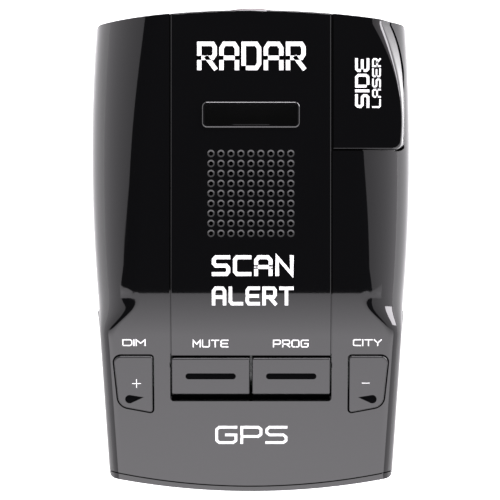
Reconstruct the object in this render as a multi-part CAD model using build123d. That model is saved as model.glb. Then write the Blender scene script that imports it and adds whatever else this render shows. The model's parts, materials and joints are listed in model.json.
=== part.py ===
from build123d import *
import math
import os

# A windscreen radar detector lying on its base: +X right, +Y towards the road, +Z up, millimetres.
# The origin is the middle of its base. The driver reads the display at the -Y end.

# ------------------------------------------------------------------ overall sizes
CASE_LENGTH = 106.2  # rear bezel to the tip of the front lens
CASE_WIDTH = 69.8  # across the cheeks, at the widest place
CASE_HEIGHT = 32.0  # base to the flat top
WALL = 2.0
SPLIT_Z = 13.0  # top of the lower case
SPLIT_GAP = 0.2
SEAM_GAP = 0.25  # between any two outside covers

LENS_PROUD = 0.8
FRONT_Y = CASE_LENGTH / 2 - LENS_PROUD
REAR_Y = -CASE_LENGTH / 2
HALF_WIDTH = CASE_WIDTH / 2

# ------------------------------------------------------------------ outline seen from above
FRONT_CORNER = (HALF_WIDTH - 0.9, FRONT_Y - 2.9)
WIDEST = (HALF_WIDTH, FRONT_Y - 34.8)
WAIST = (HALF_WIDTH - 1.5, REAR_Y + 40.8)
REAR_CORNER = (HALF_WIDTH - 3.7, REAR_Y + 3.1)
FRONT_CORNER_RADIUS = 1.2
REAR_CORNER_RADIUS = 1.8
CORNER_REACH = 4.0  # how far from an end its corners are looked for
LEAST_RADIUS = 0.05
LOWER_INSET = 0.4  # the lower case hides under the cheeks
FLARE = (HALF_WIDTH - 0.8, REAR_Y + 39.5)  # where the lower case steps out behind the cheeks
BASE_EDGE_RADIUS = 1.8

# ------------------------------------------------------------------ top: flat, then a bend down to the driver
BEND_Y = REAR_Y + 49.1
BEND_RADIUS = 60.0
SLOPE = math.radians(14.0)
# Each cheek is a quarter ellipse, broad at the front and tight behind the waist.
FRONT_CHEEK = (15.0, 11.5)  # width, depth
WAIST_CHEEK = (9.8, 9.0)
REAR_CHEEK = (3.2, 3.2)
CHEEK_FOLD_FRONT = WAIST[1] + 3.3  # the broad cheek folds into the tight one between these
CHEEK_FOLD_LENGTH = 11.0
CHEEK_ARC = math.radians(80.0)

# ------------------------------------------------------------------ centre channel and panel
CHANNEL_HALF = 17.75
PANEL_THICKNESS = 2.0
FLOOR_THICKNESS = 1.2
FLOOR_DEPTH = PANEL_THICKNESS + FLOOR_THICKNESS
PANEL_REAR_Y = REAR_Y + 29.0
PANEL_EDGE_RADIUS = 0.3

# ------------------------------------------------------------------ speaker grille
GRILLE_Y = FRONT_Y - 39.9
GRILLE_COUNT = 9
GRILLE_PITCH = 2.17
GRILLE_HOLE = 0.95
GRILLE_FLARE = 1.6
GRILLE_FLARE_DEPTH = 0.17

# ------------------------------------------------------------------ bracket socket
SOCKET_Y = FRONT_Y - 22.8
SOCKET_LENGTH = 21.3
SOCKET_WIDTH = 5.65
SOCKET_WALL = 0.55
SOCKET_CORNER = 1.1
SOCKET_PROUD = 0.35
SOCKET_DEPTH = 6.8
SOCKET_FLANGE = 1.1

# ------------------------------------------------------------------ laser pod
POD_RIGHT = HALF_WIDTH - 2.3
POD_REAR_Y = FRONT_Y - 30.4
POD_DRAFT = 9.0
POD_DEPTH = 10.0
POD_SWEEP = 4.6  # how far its right side comes in at the front
POD_SWEEP_FADE = 0.9  # nearly straight at the foot
POD_REAR_RADIUS = 1.6
POD_WALL = 1.4
POD_SKIN = 1.0  # how deep the pod is let into the cheek
POD_CROWN_FRONT = 2.3  # how far the top rounds over into the right side at the front
POD_CROWN_REAR = 0.4
POD_CROWN_DROP = 1.1
POD_CROWN_STEPS = 6

# ------------------------------------------------------------------ keys, laid out on the slope
KEY_Y = REAR_Y + 25.1
KEY_PROUD = 0.45
KEY_GAP = 0.3
KEY_LIP = 0.8
KEY_LIP_THICKNESS = 0.8
KEY_LIP_CLEARANCE = 0.1
KEY_WALL = 1.2
STEM_RADIUS = 2.2
STEM_LENGTH = 0.9
CENTRE_KEY_WIDTH = 17.1
CENTRE_KEY_REAR = -3.5  # along the slope, from the line that the switches lie on
CENTRE_KEY_FRONT = 4.75
CENTRE_KEY_SPLIT = 0.5
CENTRE_KEY_RADIUS = 0.4
POCKET_REAR = -5.2
GROOVE_LENGTH = 11.0
GROOVE_WIDTH = 1.35
GROOVE_DEPTH = 0.5
SIDE_KEY_INNER = 21.45
SIDE_KEY_OUTER = HALF_WIDTH - 4.85
SIDE_KEY_FRONT = 5.2
SIDE_KEY_REAR_INNER = -7.75
SIDE_KEY_REAR_OUTER = -6.3
SIDE_KEY_TAPER = 1.1
SIDE_KEY_RADII = (0.6, 1.5, 2.6, 0.6)  # inner front, outer front, outer rear, inner rear
DIMPLE_LENGTH = 4.1
DIMPLE_WIDTH = 1.9
DIMPLE_DEPTH = 0.45
DIMPLE_REAR_OFFSET = 2.6

# ------------------------------------------------------------------ switches under the keys
SWITCH_SIZE = 6.0
SWITCH_HEIGHT = 3.0
SWITCH_GAP = 0.6  # top of the switch to the underside of the stem
PLUNGER_RADIUS = 1.7
PLUNGER_CLEARANCE = 0.1
PLUNGER_LENGTH = 1.6
BOARD_THICKNESS = 1.2
KEY_BOARD_LENGTH = 10.0
POST_X = (CHANNEL_HALF + SIDE_KEY_INNER) / 2 - 0.1
POST_RADIUS = 1.6
SMALL_SCREW_RADIUS = 0.8
SMALL_SCREW_HEAD = 1.5
SMALL_SCREW_HEAD_HEIGHT = 1.0

# ------------------------------------------------------------------ front
WINDOW_HALF = 24.0
WINDOW_BOTTOM = SPLIT_Z + 2.6
WINDOW_TOP_DEPTH = FLOOR_DEPTH + 1.7
WINDOW_RADIUS = 2.5
LENS_HALF = 7.6
LENS_HEIGHT = 9.0
LENS_FLANGE = 1.0

# ------------------------------------------------------------------ rear bezel and display
BEZEL_SEAM_SIDE = 5.5  # seam to the rear apex, at the sides
BEZEL_SEAM_MIDDLE = 1.25
BEZEL_THICKNESS = 2.6
BEZEL_BOTTOM = WALL + 0.15
DISPLAY_HALF = 23.0
DISPLAY_BOTTOM = 4.8
DISPLAY_HEIGHT = 12.4
DISPLAY_REBATE = 1.1
DISPLAY_RECESS = 0.3
DISPLAY_CLEARANCE = 0.12
DISPLAY_RADIUS = 1.2

# ------------------------------------------------------------------ case screws
SCREW_POSTS = ((HALF_WIDTH - 5.2, FRONT_Y - 7.3), (HALF_WIDTH - 7.6, REAR_Y + 11.4))
WELL_RADIUS = 2.7
WELL_DEPTH = 7.2
POST_WALL = 1.2
SEAT_THICKNESS = 2.0
SCREW_RADIUS = 1.3
SCREW_CLEARANCE = 0.15
SCREW_LENGTH = 10.0
SCREW_HEAD_RADIUS = 2.35
SCREW_HEAD_HEIGHT = 1.7

# ------------------------------------------------------------------ main board and what stands on it
BOARD_Z = 3.8
BOARD_TOP = BOARD_Z + BOARD_THICKNESS
BOARD_EDGE = 5.6  # outside of the cheeks to the edge of the board
JACK_Y = REAR_Y + 23.1
JACK_BORE = 1.8
JACK_LENGTH = 12.0
JACK_BORE_DEPTH = 10.0
CONTACT_RADIUS = 1.25
JACK_HEIGHT = 6.2
JACK_MOUTH = 3.4
USB_Y = REAR_Y + 33.9
USB_WIDTH = 7.7
USB_HEIGHT = 3.9
USB_DEPTH = 9.2
USB_SHELL = 0.35
PORT_GAP = 0.3
SLIDER_Y = REAR_Y + 24.1
SLIDER_TRAVEL = 2.0
SLIDER_LENGTH = 3.6
SLIDER_HEIGHT = 2.6
SLIDER_BODY = (4.0, 9.0, 4.2)
SLIDER_STEM = 1.4
HORN_MOUTH = (32.0, 15.0)
HORN_THROAT = (14.0, 10.0)
HORN_LENGTH = 24.4
HORN_WALL = 1.3
MIXER_SIZE = (26.0, 15.0, 11.0)
SPEAKER_SIZE = 25.0
SPEAKER_CORNER = 4.0
CONE_RADIUS = 10.2
LASER_BOARD_DROP = 9.2  # flat top to the top of the laser board


# ------------------------------------------------------------------ curves that every cover follows
def circle_through(a, b, c):
    """Centre and radius of the circle through three points."""
    d = 2 * (a[0] * (b[1] - c[1]) + b[0] * (c[1] - a[1]) + c[0] * (a[1] - b[1]))
    squares = [p[0] ** 2 + p[1] ** 2 for p in (a, b, c)]
    x = (squares[0] * (b[1] - c[1]) + squares[1] * (c[1] - a[1]) + squares[2] * (a[1] - b[1])) / d
    y = (squares[0] * (c[0] - b[0]) + squares[1] * (a[0] - c[0]) + squares[2] * (b[0] - a[0])) / d
    return (x, y), math.hypot(a[0] - x, a[1] - y)


def along_line(a, b, y):
    """The x of the line through a and b at y."""
    return a[0] + (b[0] - a[0]) * (y - a[1]) / (b[1] - a[1])


def half_width(y):
    """Half the width of the upper case at y."""
    if y < WAIST[1]:
        return along_line(WAIST, REAR_CORNER, y)
    (x, middle), radius = circle_through(FRONT_CORNER, WIDEST, WAIST)
    return x + math.sqrt(radius**2 - (y - middle) ** 2)


def lower_half_width(y):
    """Half the width of the lower case at y, behind its flare."""
    return along_line(FLARE, REAR_CORNER, y)


def front_edge(x):
    """The y of the front of the case at x."""
    (_, y), radius = circle_through(mirrored(FRONT_CORNER), (0, FRONT_Y), FRONT_CORNER)
    return y + math.sqrt(radius**2 - x**2)


def mirrored(point):
    return (-point[0], point[1])


def top_drop(y):
    """How far the top has come down at y on the centre line."""
    behind = BEND_Y - y
    bend_length = BEND_RADIUS * math.sin(SLOPE)
    if behind <= 0:
        return 0.0
    if behind < bend_length:
        return BEND_RADIUS - math.sqrt(BEND_RADIUS**2 - behind**2)
    return BEND_RADIUS * (1 - math.cos(SLOPE)) + (behind - bend_length) * math.tan(SLOPE)


def top_z(y):
    return CASE_HEIGHT - top_drop(y)


def smooth(t):
    """0 to 1 with flat ends and no kink in curvature."""
    t = min(1.0, max(0.0, t))
    return t**3 * (10 - 15 * t + 6 * t * t)


def between(a, b, t):
    return a + (b - a) * t


def cheek(y):
    """Width and depth of the cheek's quarter ellipse at y."""
    taper = min(1.0, (FRONT_CORNER[1] - y) / (FRONT_CORNER[1] - CHEEK_FOLD_FRONT))
    fold = smooth((CHEEK_FOLD_FRONT - y) / CHEEK_FOLD_LENGTH)
    return tuple(
        between(between(FRONT_CHEEK[i], WAIST_CHEEK[i], taper), REAR_CHEEK[i], fold) for i in (0, 1)
    )


def section(y, inset):
    """The case cut across at y: flat on top, an elliptical cheek at each side, straight from there down."""
    width, depth = cheek(y)
    flat = half_width(y) - width
    width -= inset
    depth -= inset
    top = top_z(y) - inset
    end = (flat + width * math.sin(CHEEK_ARC), top - depth * (1 - math.cos(CHEEK_ARC)))
    out = (end[0] + width * math.cos(CHEEK_ARC), end[1] - depth * math.sin(CHEEK_ARC))
    low = (out[0], -2 * CASE_HEIGHT)
    arc_degrees = math.degrees(CHEEK_ARC)
    arc = EllipticalCenterArc((flat, top - depth), width, depth, 90 - arc_degrees, arc_size=arc_degrees)
    edges = [
        Line(low, out),
        Line(out, end),
        arc,
        Line((flat, top), (-flat, top)),
        mirror(arc, Plane.YZ),
        Line(mirrored(end), mirrored(out)),
        Line(mirrored(out), mirrored(low)),
        Line(mirrored(low), low),
    ]
    return Plane(origin=(0, y, 0), x_dir=(1, 0, 0), z_dir=(0, -1, 0)) * make_face(edges)


def section_places():
    """Where the cross-sections stand, closer together where the cheeks fold and the top bends."""
    fold_rear = CHEEK_FOLD_FRONT - CHEEK_FOLD_LENGTH
    rear = [between(REAR_Y - 3, fold_rear - 2, i / 5) for i in range(6)]
    fold = [between(fold_rear - 1, CHEEK_FOLD_FRONT + 1, i / 10) for i in range(11)]
    bend = [between(CHEEK_FOLD_FRONT + 2.5, BEND_Y + 2, i / 3) for i in range(4)]
    front = [between(BEND_Y + 6, FRONT_Y + 5, i / 10) for i in range(11)]
    return rear + fold + bend + front


FORMS = {}


def under_skin(inset=0.0):
    """Everything below the top surface moved inwards by inset."""
    if inset not in FORMS:
        FORMS[inset] = loft([section(y, inset) for y in section_places()])
    return FORMS[inset]


# ------------------------------------------------------------------ flat outlines and simple regions
def plan(inset=0.0):
    """The upper case's outline, moved inwards by inset."""
    left = [mirrored(p) for p in (FRONT_CORNER, WIDEST, WAIST, REAR_CORNER)]
    edges = [
        ThreePointArc(left[0], (0, FRONT_Y), FRONT_CORNER),
        ThreePointArc(FRONT_CORNER, WIDEST, WAIST),
        Line(WAIST, REAR_CORNER),
        ThreePointArc(REAR_CORNER, (0, REAR_Y), left[3]),
        Line(left[3], left[2]),
        ThreePointArc(left[2], left[1], left[0]),
    ]
    return rounded_plan(make_face(edges), inset)


def lower_plan():
    """The lower case's outline: under the cheeks it hides, behind them it steps out."""
    hidden = [(p[0] - LOWER_INSET, p[1]) for p in (FRONT_CORNER, WIDEST, WAIST)]
    left = [mirrored(p) for p in (*hidden, FLARE, REAR_CORNER)]
    edges = [
        ThreePointArc(left[0], (0, FRONT_Y - LOWER_INSET), hidden[0]),
        ThreePointArc(*hidden),
        Line(hidden[2], FLARE),
        Line(FLARE, REAR_CORNER),
        ThreePointArc(REAR_CORNER, (0, REAR_Y), left[4]),
        Line(left[4], left[3]),
        Line(left[3], left[2]),
        ThreePointArc(left[2], left[1], left[0]),
    ]
    return rounded_plan(make_face(edges), 0.0)


def rounded_plan(face, inset):
    """The outline moved inwards, with what is left of its four outer corners' rounding."""
    if inset:
        face = offset(face, amount=-inset, kind=Kind.INTERSECTION)
    for side, radius in ((1, FRONT_CORNER_RADIUS), (-1, REAR_CORNER_RADIUS)):
        end = FRONT_CORNER[1] if side > 0 else -REAR_CORNER[1]
        corners = [v for v in face.vertices() if side * v.Y > end - CORNER_REACH]
        if radius - inset > LEAST_RADIUS:
            face = fillet(corners, radius - inset)
    return face


def prism(face, low, high):
    """A flat outline stood up between two heights."""
    return extrude(Pos(0, 0, low) * face, amount=high - low)


def block(x, y, z):
    """A box from three (low, high) pairs."""
    size = [pair[1] - pair[0] for pair in (x, y, z)]
    middle = [(pair[1] + pair[0]) / 2 for pair in (x, y, z)]
    return Pos(*middle) * Box(*size)


def top_curve(depth):
    """The centre line of the top in the YZ plane, moved down by depth: its points from front to rear."""
    radius = BEND_RADIUS - depth
    centre = (BEND_Y, CASE_HEIGHT - BEND_RADIUS)

    def on_bend(angle):
        return (centre[0] - radius * math.sin(angle), centre[1] + radius * math.cos(angle))

    end = on_bend(SLOPE)
    run = CASE_LENGTH
    tail = (end[0] - run * math.cos(SLOPE), end[1] - run * math.sin(SLOPE))
    return [(FRONT_Y + 9, CASE_HEIGHT - depth), on_bend(0), on_bend(SLOPE / 2), end, tail]


def slab(top, bottom, x, y):
    """A plate that follows the top between two depths below it, within the x and y ranges."""
    upper, lower = top_curve(top), top_curve(bottom)
    edges = [
        Line(upper[0], upper[1]),
        ThreePointArc(upper[1], upper[2], upper[3]),
        Line(upper[3], upper[4]),
        Line(upper[4], lower[4]),
        Line(lower[4], lower[3]),
        ThreePointArc(lower[3], lower[2], lower[1]),
        Line(lower[1], lower[0]),
        Line(lower[0], upper[0]),
    ]
    plate = extrude(Pos(x[0], 0, 0) * (Plane.YZ * make_face(edges)), amount=x[1] - x[0])
    return plate & block((x[0] - 1, x[1] + 1), y, (-CASE_HEIGHT, 2 * CASE_HEIGHT))


def behind_arc(side_y, middle_y):
    """Everything behind an arc through the middle, given its y at the sides and in the middle."""
    reach = 2 * HALF_WIDTH
    (x, y), radius = circle_through((-HALF_WIDTH, side_y), (0, middle_y), (HALF_WIDTH, side_y))
    end_y = y - math.sqrt(radius**2 - reach**2)
    edges = [
        ThreePointArc((-reach, end_y), (0, middle_y), (reach, end_y)),
        Polyline((reach, end_y), (reach, REAR_Y - 9), (-reach, REAR_Y - 9), (-reach, end_y)),
    ]
    return prism(make_face(edges), -CASE_HEIGHT, 2 * CASE_HEIGHT)


def behind_seam(gap=0.0):
    """Everything behind the seam between the cases and the rear bezel."""
    return behind_arc(REAR_Y + BEZEL_SEAM_SIDE + gap, REAR_Y + BEZEL_SEAM_MIDDLE + gap)


def rear_arc_behind(inset):
    """Everything behind the rear outline moved inwards."""
    sag = REAR_CORNER[1] - REAR_Y
    sag_at_side = sag * (HALF_WIDTH / REAR_CORNER[0]) ** 2
    return behind_arc(REAR_Y + inset + sag_at_side, REAR_Y + inset)


# ------------------------------------------------------------------ the keys' plane on the slope
def key_plane(depth=0.0):
    """The slope at the line of switches, moved down by depth. Its local y runs up the slope."""
    normal = Vector(0, -math.sin(SLOPE), math.cos(SLOPE))
    origin = Vector(0, KEY_Y, top_z(KEY_Y)) - normal * depth
    return Plane(origin=origin, x_dir=(1, 0, 0), z_dir=normal)


def key_prism(face, top, bottom):
    """An outline on the slope, filled between two depths below it."""
    return extrude(key_plane(bottom) * face, amount=bottom - top)


def key_rectangle(x, v):
    return Pos((x[0] + x[1]) / 2, (v[0] + v[1]) / 2) * Rectangle(x[1] - x[0], v[1] - v[0])


def centre_key_x(side):
    edges = sorted((side * CENTRE_KEY_SPLIT / 2, side * (CENTRE_KEY_SPLIT / 2 + CENTRE_KEY_WIDTH)))
    return edges[0], edges[1]


def centre_key_face(side):
    face = key_rectangle(centre_key_x(side), (CENTRE_KEY_REAR, CENTRE_KEY_FRONT))
    return fillet(face.vertices(), CENTRE_KEY_RADIUS)


def pocket_face():
    """The opening that both centre keys share, with finger room behind them."""
    half = CENTRE_KEY_SPLIT / 2 + CENTRE_KEY_WIDTH + KEY_GAP
    face = key_rectangle((-half, half), (POCKET_REAR, CENTRE_KEY_FRONT + KEY_GAP))
    rear = face.vertices().sort_by(Axis.Y)[:2]
    return fillet(rear, 2 * CENTRE_KEY_RADIUS)


def side_key_face(side, grow=0.0):
    """A side key's outline: its outer edge leans in and its rear edge runs down towards the middle."""
    points = [
        (SIDE_KEY_INNER, SIDE_KEY_FRONT),
        (SIDE_KEY_OUTER, SIDE_KEY_FRONT),
        (SIDE_KEY_OUTER - SIDE_KEY_TAPER, SIDE_KEY_REAR_OUTER),
        (SIDE_KEY_INNER, SIDE_KEY_REAR_INNER),
    ]
    face = make_face(Polyline(*[(side * x, v) for x, v in points], close=True))
    for point, radius in zip(points, SIDE_KEY_RADII):
        nearest = face.vertices().sort_by_distance((side * point[0], point[1], 0))[0]
        face = fillet(nearest, radius)
    if grow:
        face = offset(face, amount=grow)
    return face


def teardrop(length, width):
    """A drop with a round end at -x and a point at +x."""
    radius = width / 2
    reach = length - radius
    bearing = math.acos(radius / reach)
    touch = (radius * math.cos(bearing), radius * math.sin(bearing))
    edges = [
        Line((reach, 0), touch),
        ThreePointArc(touch, (-radius, 0), (touch[0], -touch[1])),
        Line((touch[0], -touch[1]), (reach, 0)),
    ]
    return Pos(radius - length / 2, 0) * make_face(edges)


# Depths below the slope, from the cap down to the key board.
LIP_TOP = FLOOR_DEPTH + KEY_LIP_CLEARANCE
LIP_BOTTOM = LIP_TOP + KEY_LIP_THICKNESS
STEM_END = LIP_BOTTOM + STEM_LENGTH
SWITCH_TOP = STEM_END + SWITCH_GAP
KEY_BOARD_TOP = SWITCH_TOP + SWITCH_HEIGHT
KEY_BOARD_BOTTOM = KEY_BOARD_TOP + BOARD_THICKNESS
CENTRE_KEY_MIDDLE = (CENTRE_KEY_REAR + CENTRE_KEY_FRONT) / 2
SIDE_KEY_X = (SIDE_KEY_INNER + SIDE_KEY_OUTER - SIDE_KEY_TAPER / 2) / 2


def switch_places():
    """Where each key's switch sits on the slope, by the key's name."""
    centre_x = (CENTRE_KEY_SPLIT + CENTRE_KEY_WIDTH) / 2
    return {
        "mute": (-centre_x, CENTRE_KEY_MIDDLE),
        "prog": (centre_x, CENTRE_KEY_MIDDLE),
        "plus": (-SIDE_KEY_X, -1.0),
        "minus": (SIDE_KEY_X, -1.0),
    }


def stem(name):
    place = switch_places()[name]
    return key_prism(Pos(*place) * Circle(STEM_RADIUS), KEY_WALL, STEM_END)


def soften(solid, edges, radius):
    return fillet(edges, radius) if edges else solid


def cap_top_edges(cap):
    """The edges round the top of a key."""
    plane = key_plane(-KEY_PROUD)
    return [
        e for e in cap.edges() if all(abs(plane.to_local_coords(v.center()).Z) < 0.01 for v in e.vertices())
    ]


def level_recess(face, v, depth):
    """A recess in a key's cap whose floor lies level, so that it is deepest at its front."""
    floor = key_plane(depth - KEY_PROUD).from_local_coords((0, v, 0)).Z
    cut = key_prism(face, -KEY_PROUD - 1, KEY_WALL)
    return cut & block((-CASE_WIDTH, CASE_WIDTH), (2 * REAR_Y, 0), (floor, CASE_HEIGHT))


def centre_key(side, name):
    """A wide key with a pill-shaped finger groove. Lips at its front and rear hold it under the case."""
    cap = key_prism(centre_key_face(side), -KEY_PROUD, LIP_BOTTOM)
    cap = soften(cap, cap_top_edges(cap), 0.35)
    x = centre_key_x(side)
    lip = key_rectangle(x, (POCKET_REAR - KEY_LIP, CENTRE_KEY_FRONT + KEY_GAP + KEY_LIP))
    cap += key_prism(lip, LIP_TOP, LIP_BOTTOM)
    inside = key_rectangle(
        (x[0] + KEY_WALL, x[1] - KEY_WALL), (CENTRE_KEY_REAR + KEY_WALL, CENTRE_KEY_FRONT - KEY_WALL)
    )
    cap -= key_prism(inside, KEY_WALL, LIP_BOTTOM)
    groove = Pos((x[0] + x[1]) / 2, CENTRE_KEY_MIDDLE) * SlotOverall(GROOVE_LENGTH, GROOVE_WIDTH)
    cap -= level_recess(groove, CENTRE_KEY_MIDDLE, GROOVE_DEPTH)
    return cap + stem(name)


def side_key(side, name):
    """A leaning side key with a drop-shaped dimple near its rear edge."""
    cap = key_prism(side_key_face(side), -KEY_PROUD, LIP_BOTTOM)
    cap = soften(cap, cap_top_edges(cap), 0.35)
    reach = KEY_GAP + KEY_LIP
    grown = side_key_face(side, reach)
    ends = sorted((side * (SIDE_KEY_INNER + 1.2), side * (SIDE_KEY_OUTER - 2.6)))
    cap += key_prism(grown & key_rectangle(ends, (-2 * SWITCH_SIZE, 2 * SWITCH_SIZE)), LIP_TOP, LIP_BOTTOM)
    cap -= key_prism(side_key_face(side, -KEY_WALL), KEY_WALL, LIP_BOTTOM)
    turn = 0 if side < 0 else 180
    rear = (SIDE_KEY_REAR_INNER + SIDE_KEY_REAR_OUTER) / 2 + DIMPLE_REAR_OFFSET
    drop = Pos(side * SIDE_KEY_X, rear) * Rot(0, 0, turn - side * 8) * teardrop(DIMPLE_LENGTH, DIMPLE_WIDTH)
    cap -= level_recess(drop, rear, DIMPLE_DEPTH)
    return cap + stem(name)


def key_openings():
    """All that is cut out of the upper case for the keys."""
    cut = key_prism(pocket_face(), -9, FLOOR_DEPTH + 1)
    for side in (-1, 1):
        cut += key_prism(side_key_face(side, KEY_GAP), -9, FLOOR_DEPTH + 1)
    return cut


# ------------------------------------------------------------------ pod region
def pod_outline(level, grow, crown=0.0):
    """The pod seen from above at a level below the flat top. Its right side sweeps in towards the front."""
    lean = level * math.tan(math.radians(POD_DRAFT)) + grow - crown * POD_CROWN_REAR
    sweep = POD_SWEEP * (1 - POD_SWEEP_FADE * level / POD_DEPTH) + crown * (POD_CROWN_FRONT - POD_CROWN_REAR)
    rear = POD_REAR_Y - grow + crown * POD_CROWN_REAR
    left = CHANNEL_HALF + SEAM_GAP - grow
    front = FRONT_Y + 5
    right = (POD_RIGHT + lean, rear)
    middle = (POD_RIGHT + lean - 0.16 * sweep, FRONT_Y - 14)
    end = (POD_RIGHT + lean - sweep, FRONT_Y - 3)
    edges = [
        Line((left, rear), right),
        ThreePointArc(right, middle, end),
        Line(end, (end[0], front)),
        Line((end[0], front), (left, front)),
        Line((left, front), (left, rear)),
    ]
    face = make_face(edges)
    corner = face.vertices().sort_by_distance((right[0], right[1], 0))[0]
    return Pos(0, 0, CASE_HEIGHT - level) * fillet(corner, POD_REAR_RADIUS)


def pod_block(grow=0.0):
    """A drafted block that keeps the flat top's height out over the falling cheek."""
    return loft([pod_outline(0, grow), pod_outline(POD_DEPTH, grow)])


def crowned_pod():
    """The pod with its top rounded over into its right side, wider towards the front."""
    outlines = []
    for step in range(POD_CROWN_STEPS + 1):
        turn = math.radians(90 * step / POD_CROWN_STEPS)
        outlines.append(pod_outline(POD_CROWN_DROP * (1 - math.cos(turn)), 0, 1 - math.sin(turn)))
    return loft(outlines + [pod_outline(POD_DEPTH, 0)], ruled=True)


def outside_pod_edge():
    """The part of the cheek that the pod only touches with its thin edge."""
    return block((POD_RIGHT + POD_SKIN, CASE_WIDTH), (0, 2 * FRONT_Y), (0, CASE_HEIGHT))


# ------------------------------------------------------------------ outside covers
def envelope(inset=0.0):
    """The upper case's outer form, or its inner one."""
    return prism(plan(inset), 0, 2 * CASE_HEIGHT) & under_skin(inset)


def cavity(inset=WALL, clearance=0.0):
    """The hollow inside the covers, carried straight back through the rear so the bezel can close it."""
    gap = inset + clearance
    half = REAR_CORNER[0] - gap
    rear = block((-half, half), (REAR_Y - 9, REAR_CORNER[1] + 3), (0, 2 * CASE_HEIGHT))
    return (prism(plan(gap), 0, 2 * CASE_HEIGHT) + rear) & under_skin(gap)


def well(place, low, high, radius):
    return Pos(place[0], place[1], (low + high) / 2) * Cylinder(radius, high - low)


def four_sides(places):
    """The same places on both sides of the centre line."""
    return [(side * x, y) for x, y in places for side in (-1, 1)]


def window_rectangle(grow=0.0):
    """The front window's outline stood up through the front wall."""
    top = CASE_HEIGHT - WINDOW_TOP_DEPTH + grow
    bottom = WINDOW_BOTTOM - grow
    face = Rectangle(2 * (WINDOW_HALF + grow), top - bottom)
    face = fillet(face.vertices(), WINDOW_RADIUS)
    placed = Plane(origin=(0, FRONT_Y + 5, (top + bottom) / 2), x_dir=(1, 0, 0), z_dir=(0, -1, 0)) * face
    return extrude(placed, amount=FRONT_Y - FRONT_CORNER[1] + 9)


LENS_Z = (WINDOW_BOTTOM + CASE_HEIGHT - WINDOW_TOP_DEPTH) / 2 + 0.6


def lens_rectangle(grow=0.0):
    face = Rectangle(2 * (LENS_HALF + grow), LENS_HEIGHT + 2 * grow)
    face = fillet(face.vertices(), 1.6)
    placed = Plane(origin=(0, FRONT_Y + 5, LENS_Z), x_dir=(1, 0, 0), z_dir=(0, -1, 0)) * face
    return extrude(placed, amount=12)


def display_rectangle(grow=0.0):
    face = Rectangle(2 * (DISPLAY_HALF + grow), DISPLAY_HEIGHT + 2 * grow)
    face = fillet(face.vertices(), DISPLAY_RADIUS)
    middle = DISPLAY_BOTTOM + DISPLAY_HEIGHT / 2
    placed = Plane(origin=(0, REAR_Y - 5, middle), x_dir=(-1, 0, 0), z_dir=(0, 1, 0)) * face
    return extrude(placed, amount=12)


KEY_BAY_Y = (KEY_Y - 10.5, KEY_Y + 8.0)
CHANNEL_WALL = 1.5
RIB_DEPTH = 0.7  # how deep in the top wall the channel's sides are rooted
UPPER_POST_RADIUS = 2.8
UPPER_POST_HOLE_TOP = SPLIT_Z + 5.5
PEG_RADIUS = 1.2
PEG_CLEARANCE = 0.15
PANEL_PEGS = four_sides(((14.5, FRONT_Y - 9.3), (14.5, FRONT_Y - 33.3), (14.5, BEND_Y - 12.0)))
POD_OPENING = (CHANNEL_HALF + 4.5, POD_RIGHT - 1.8, POD_REAR_Y + 3.2, FRONT_Y - 11.5)
LASER_POSTS = ((-7.5, FRONT_Y - 13.8), (7.5, FRONT_Y - 13.8), (19.9, FRONT_Y - 12.0))
LASER_BOARD_TOP = CASE_HEIGHT - LASER_BOARD_DROP


def channel_frame():
    """The sides and floor of the channel that the panel lies in, and the thicker bay round the keys."""
    half = CHANNEL_HALF + CHANNEL_WALL
    channel = slab(RIB_DEPTH, FLOOR_DEPTH, (-half, half), (KEY_BAY_Y[0], FRONT_Y + 5))
    bay = slab(RIB_DEPTH, FLOOR_DEPTH, (-HALF_WIDTH, HALF_WIDTH), KEY_BAY_Y)
    return (channel + bay) & envelope(WALL / 2)


def socket_rectangle(grow=0.0, rounding=SOCKET_CORNER):
    face = Rectangle(SOCKET_LENGTH + 2 * grow, SOCKET_WIDTH + 2 * grow)
    return Pos(0, SOCKET_Y) * fillet(face.vertices(), rounding)


def speaker_square(size, rounding=SPEAKER_CORNER):
    return Pos(0, GRILLE_Y) * fillet(Rectangle(size, size).vertices(), rounding)


SPEAKER_OPENING = 19.4


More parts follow.
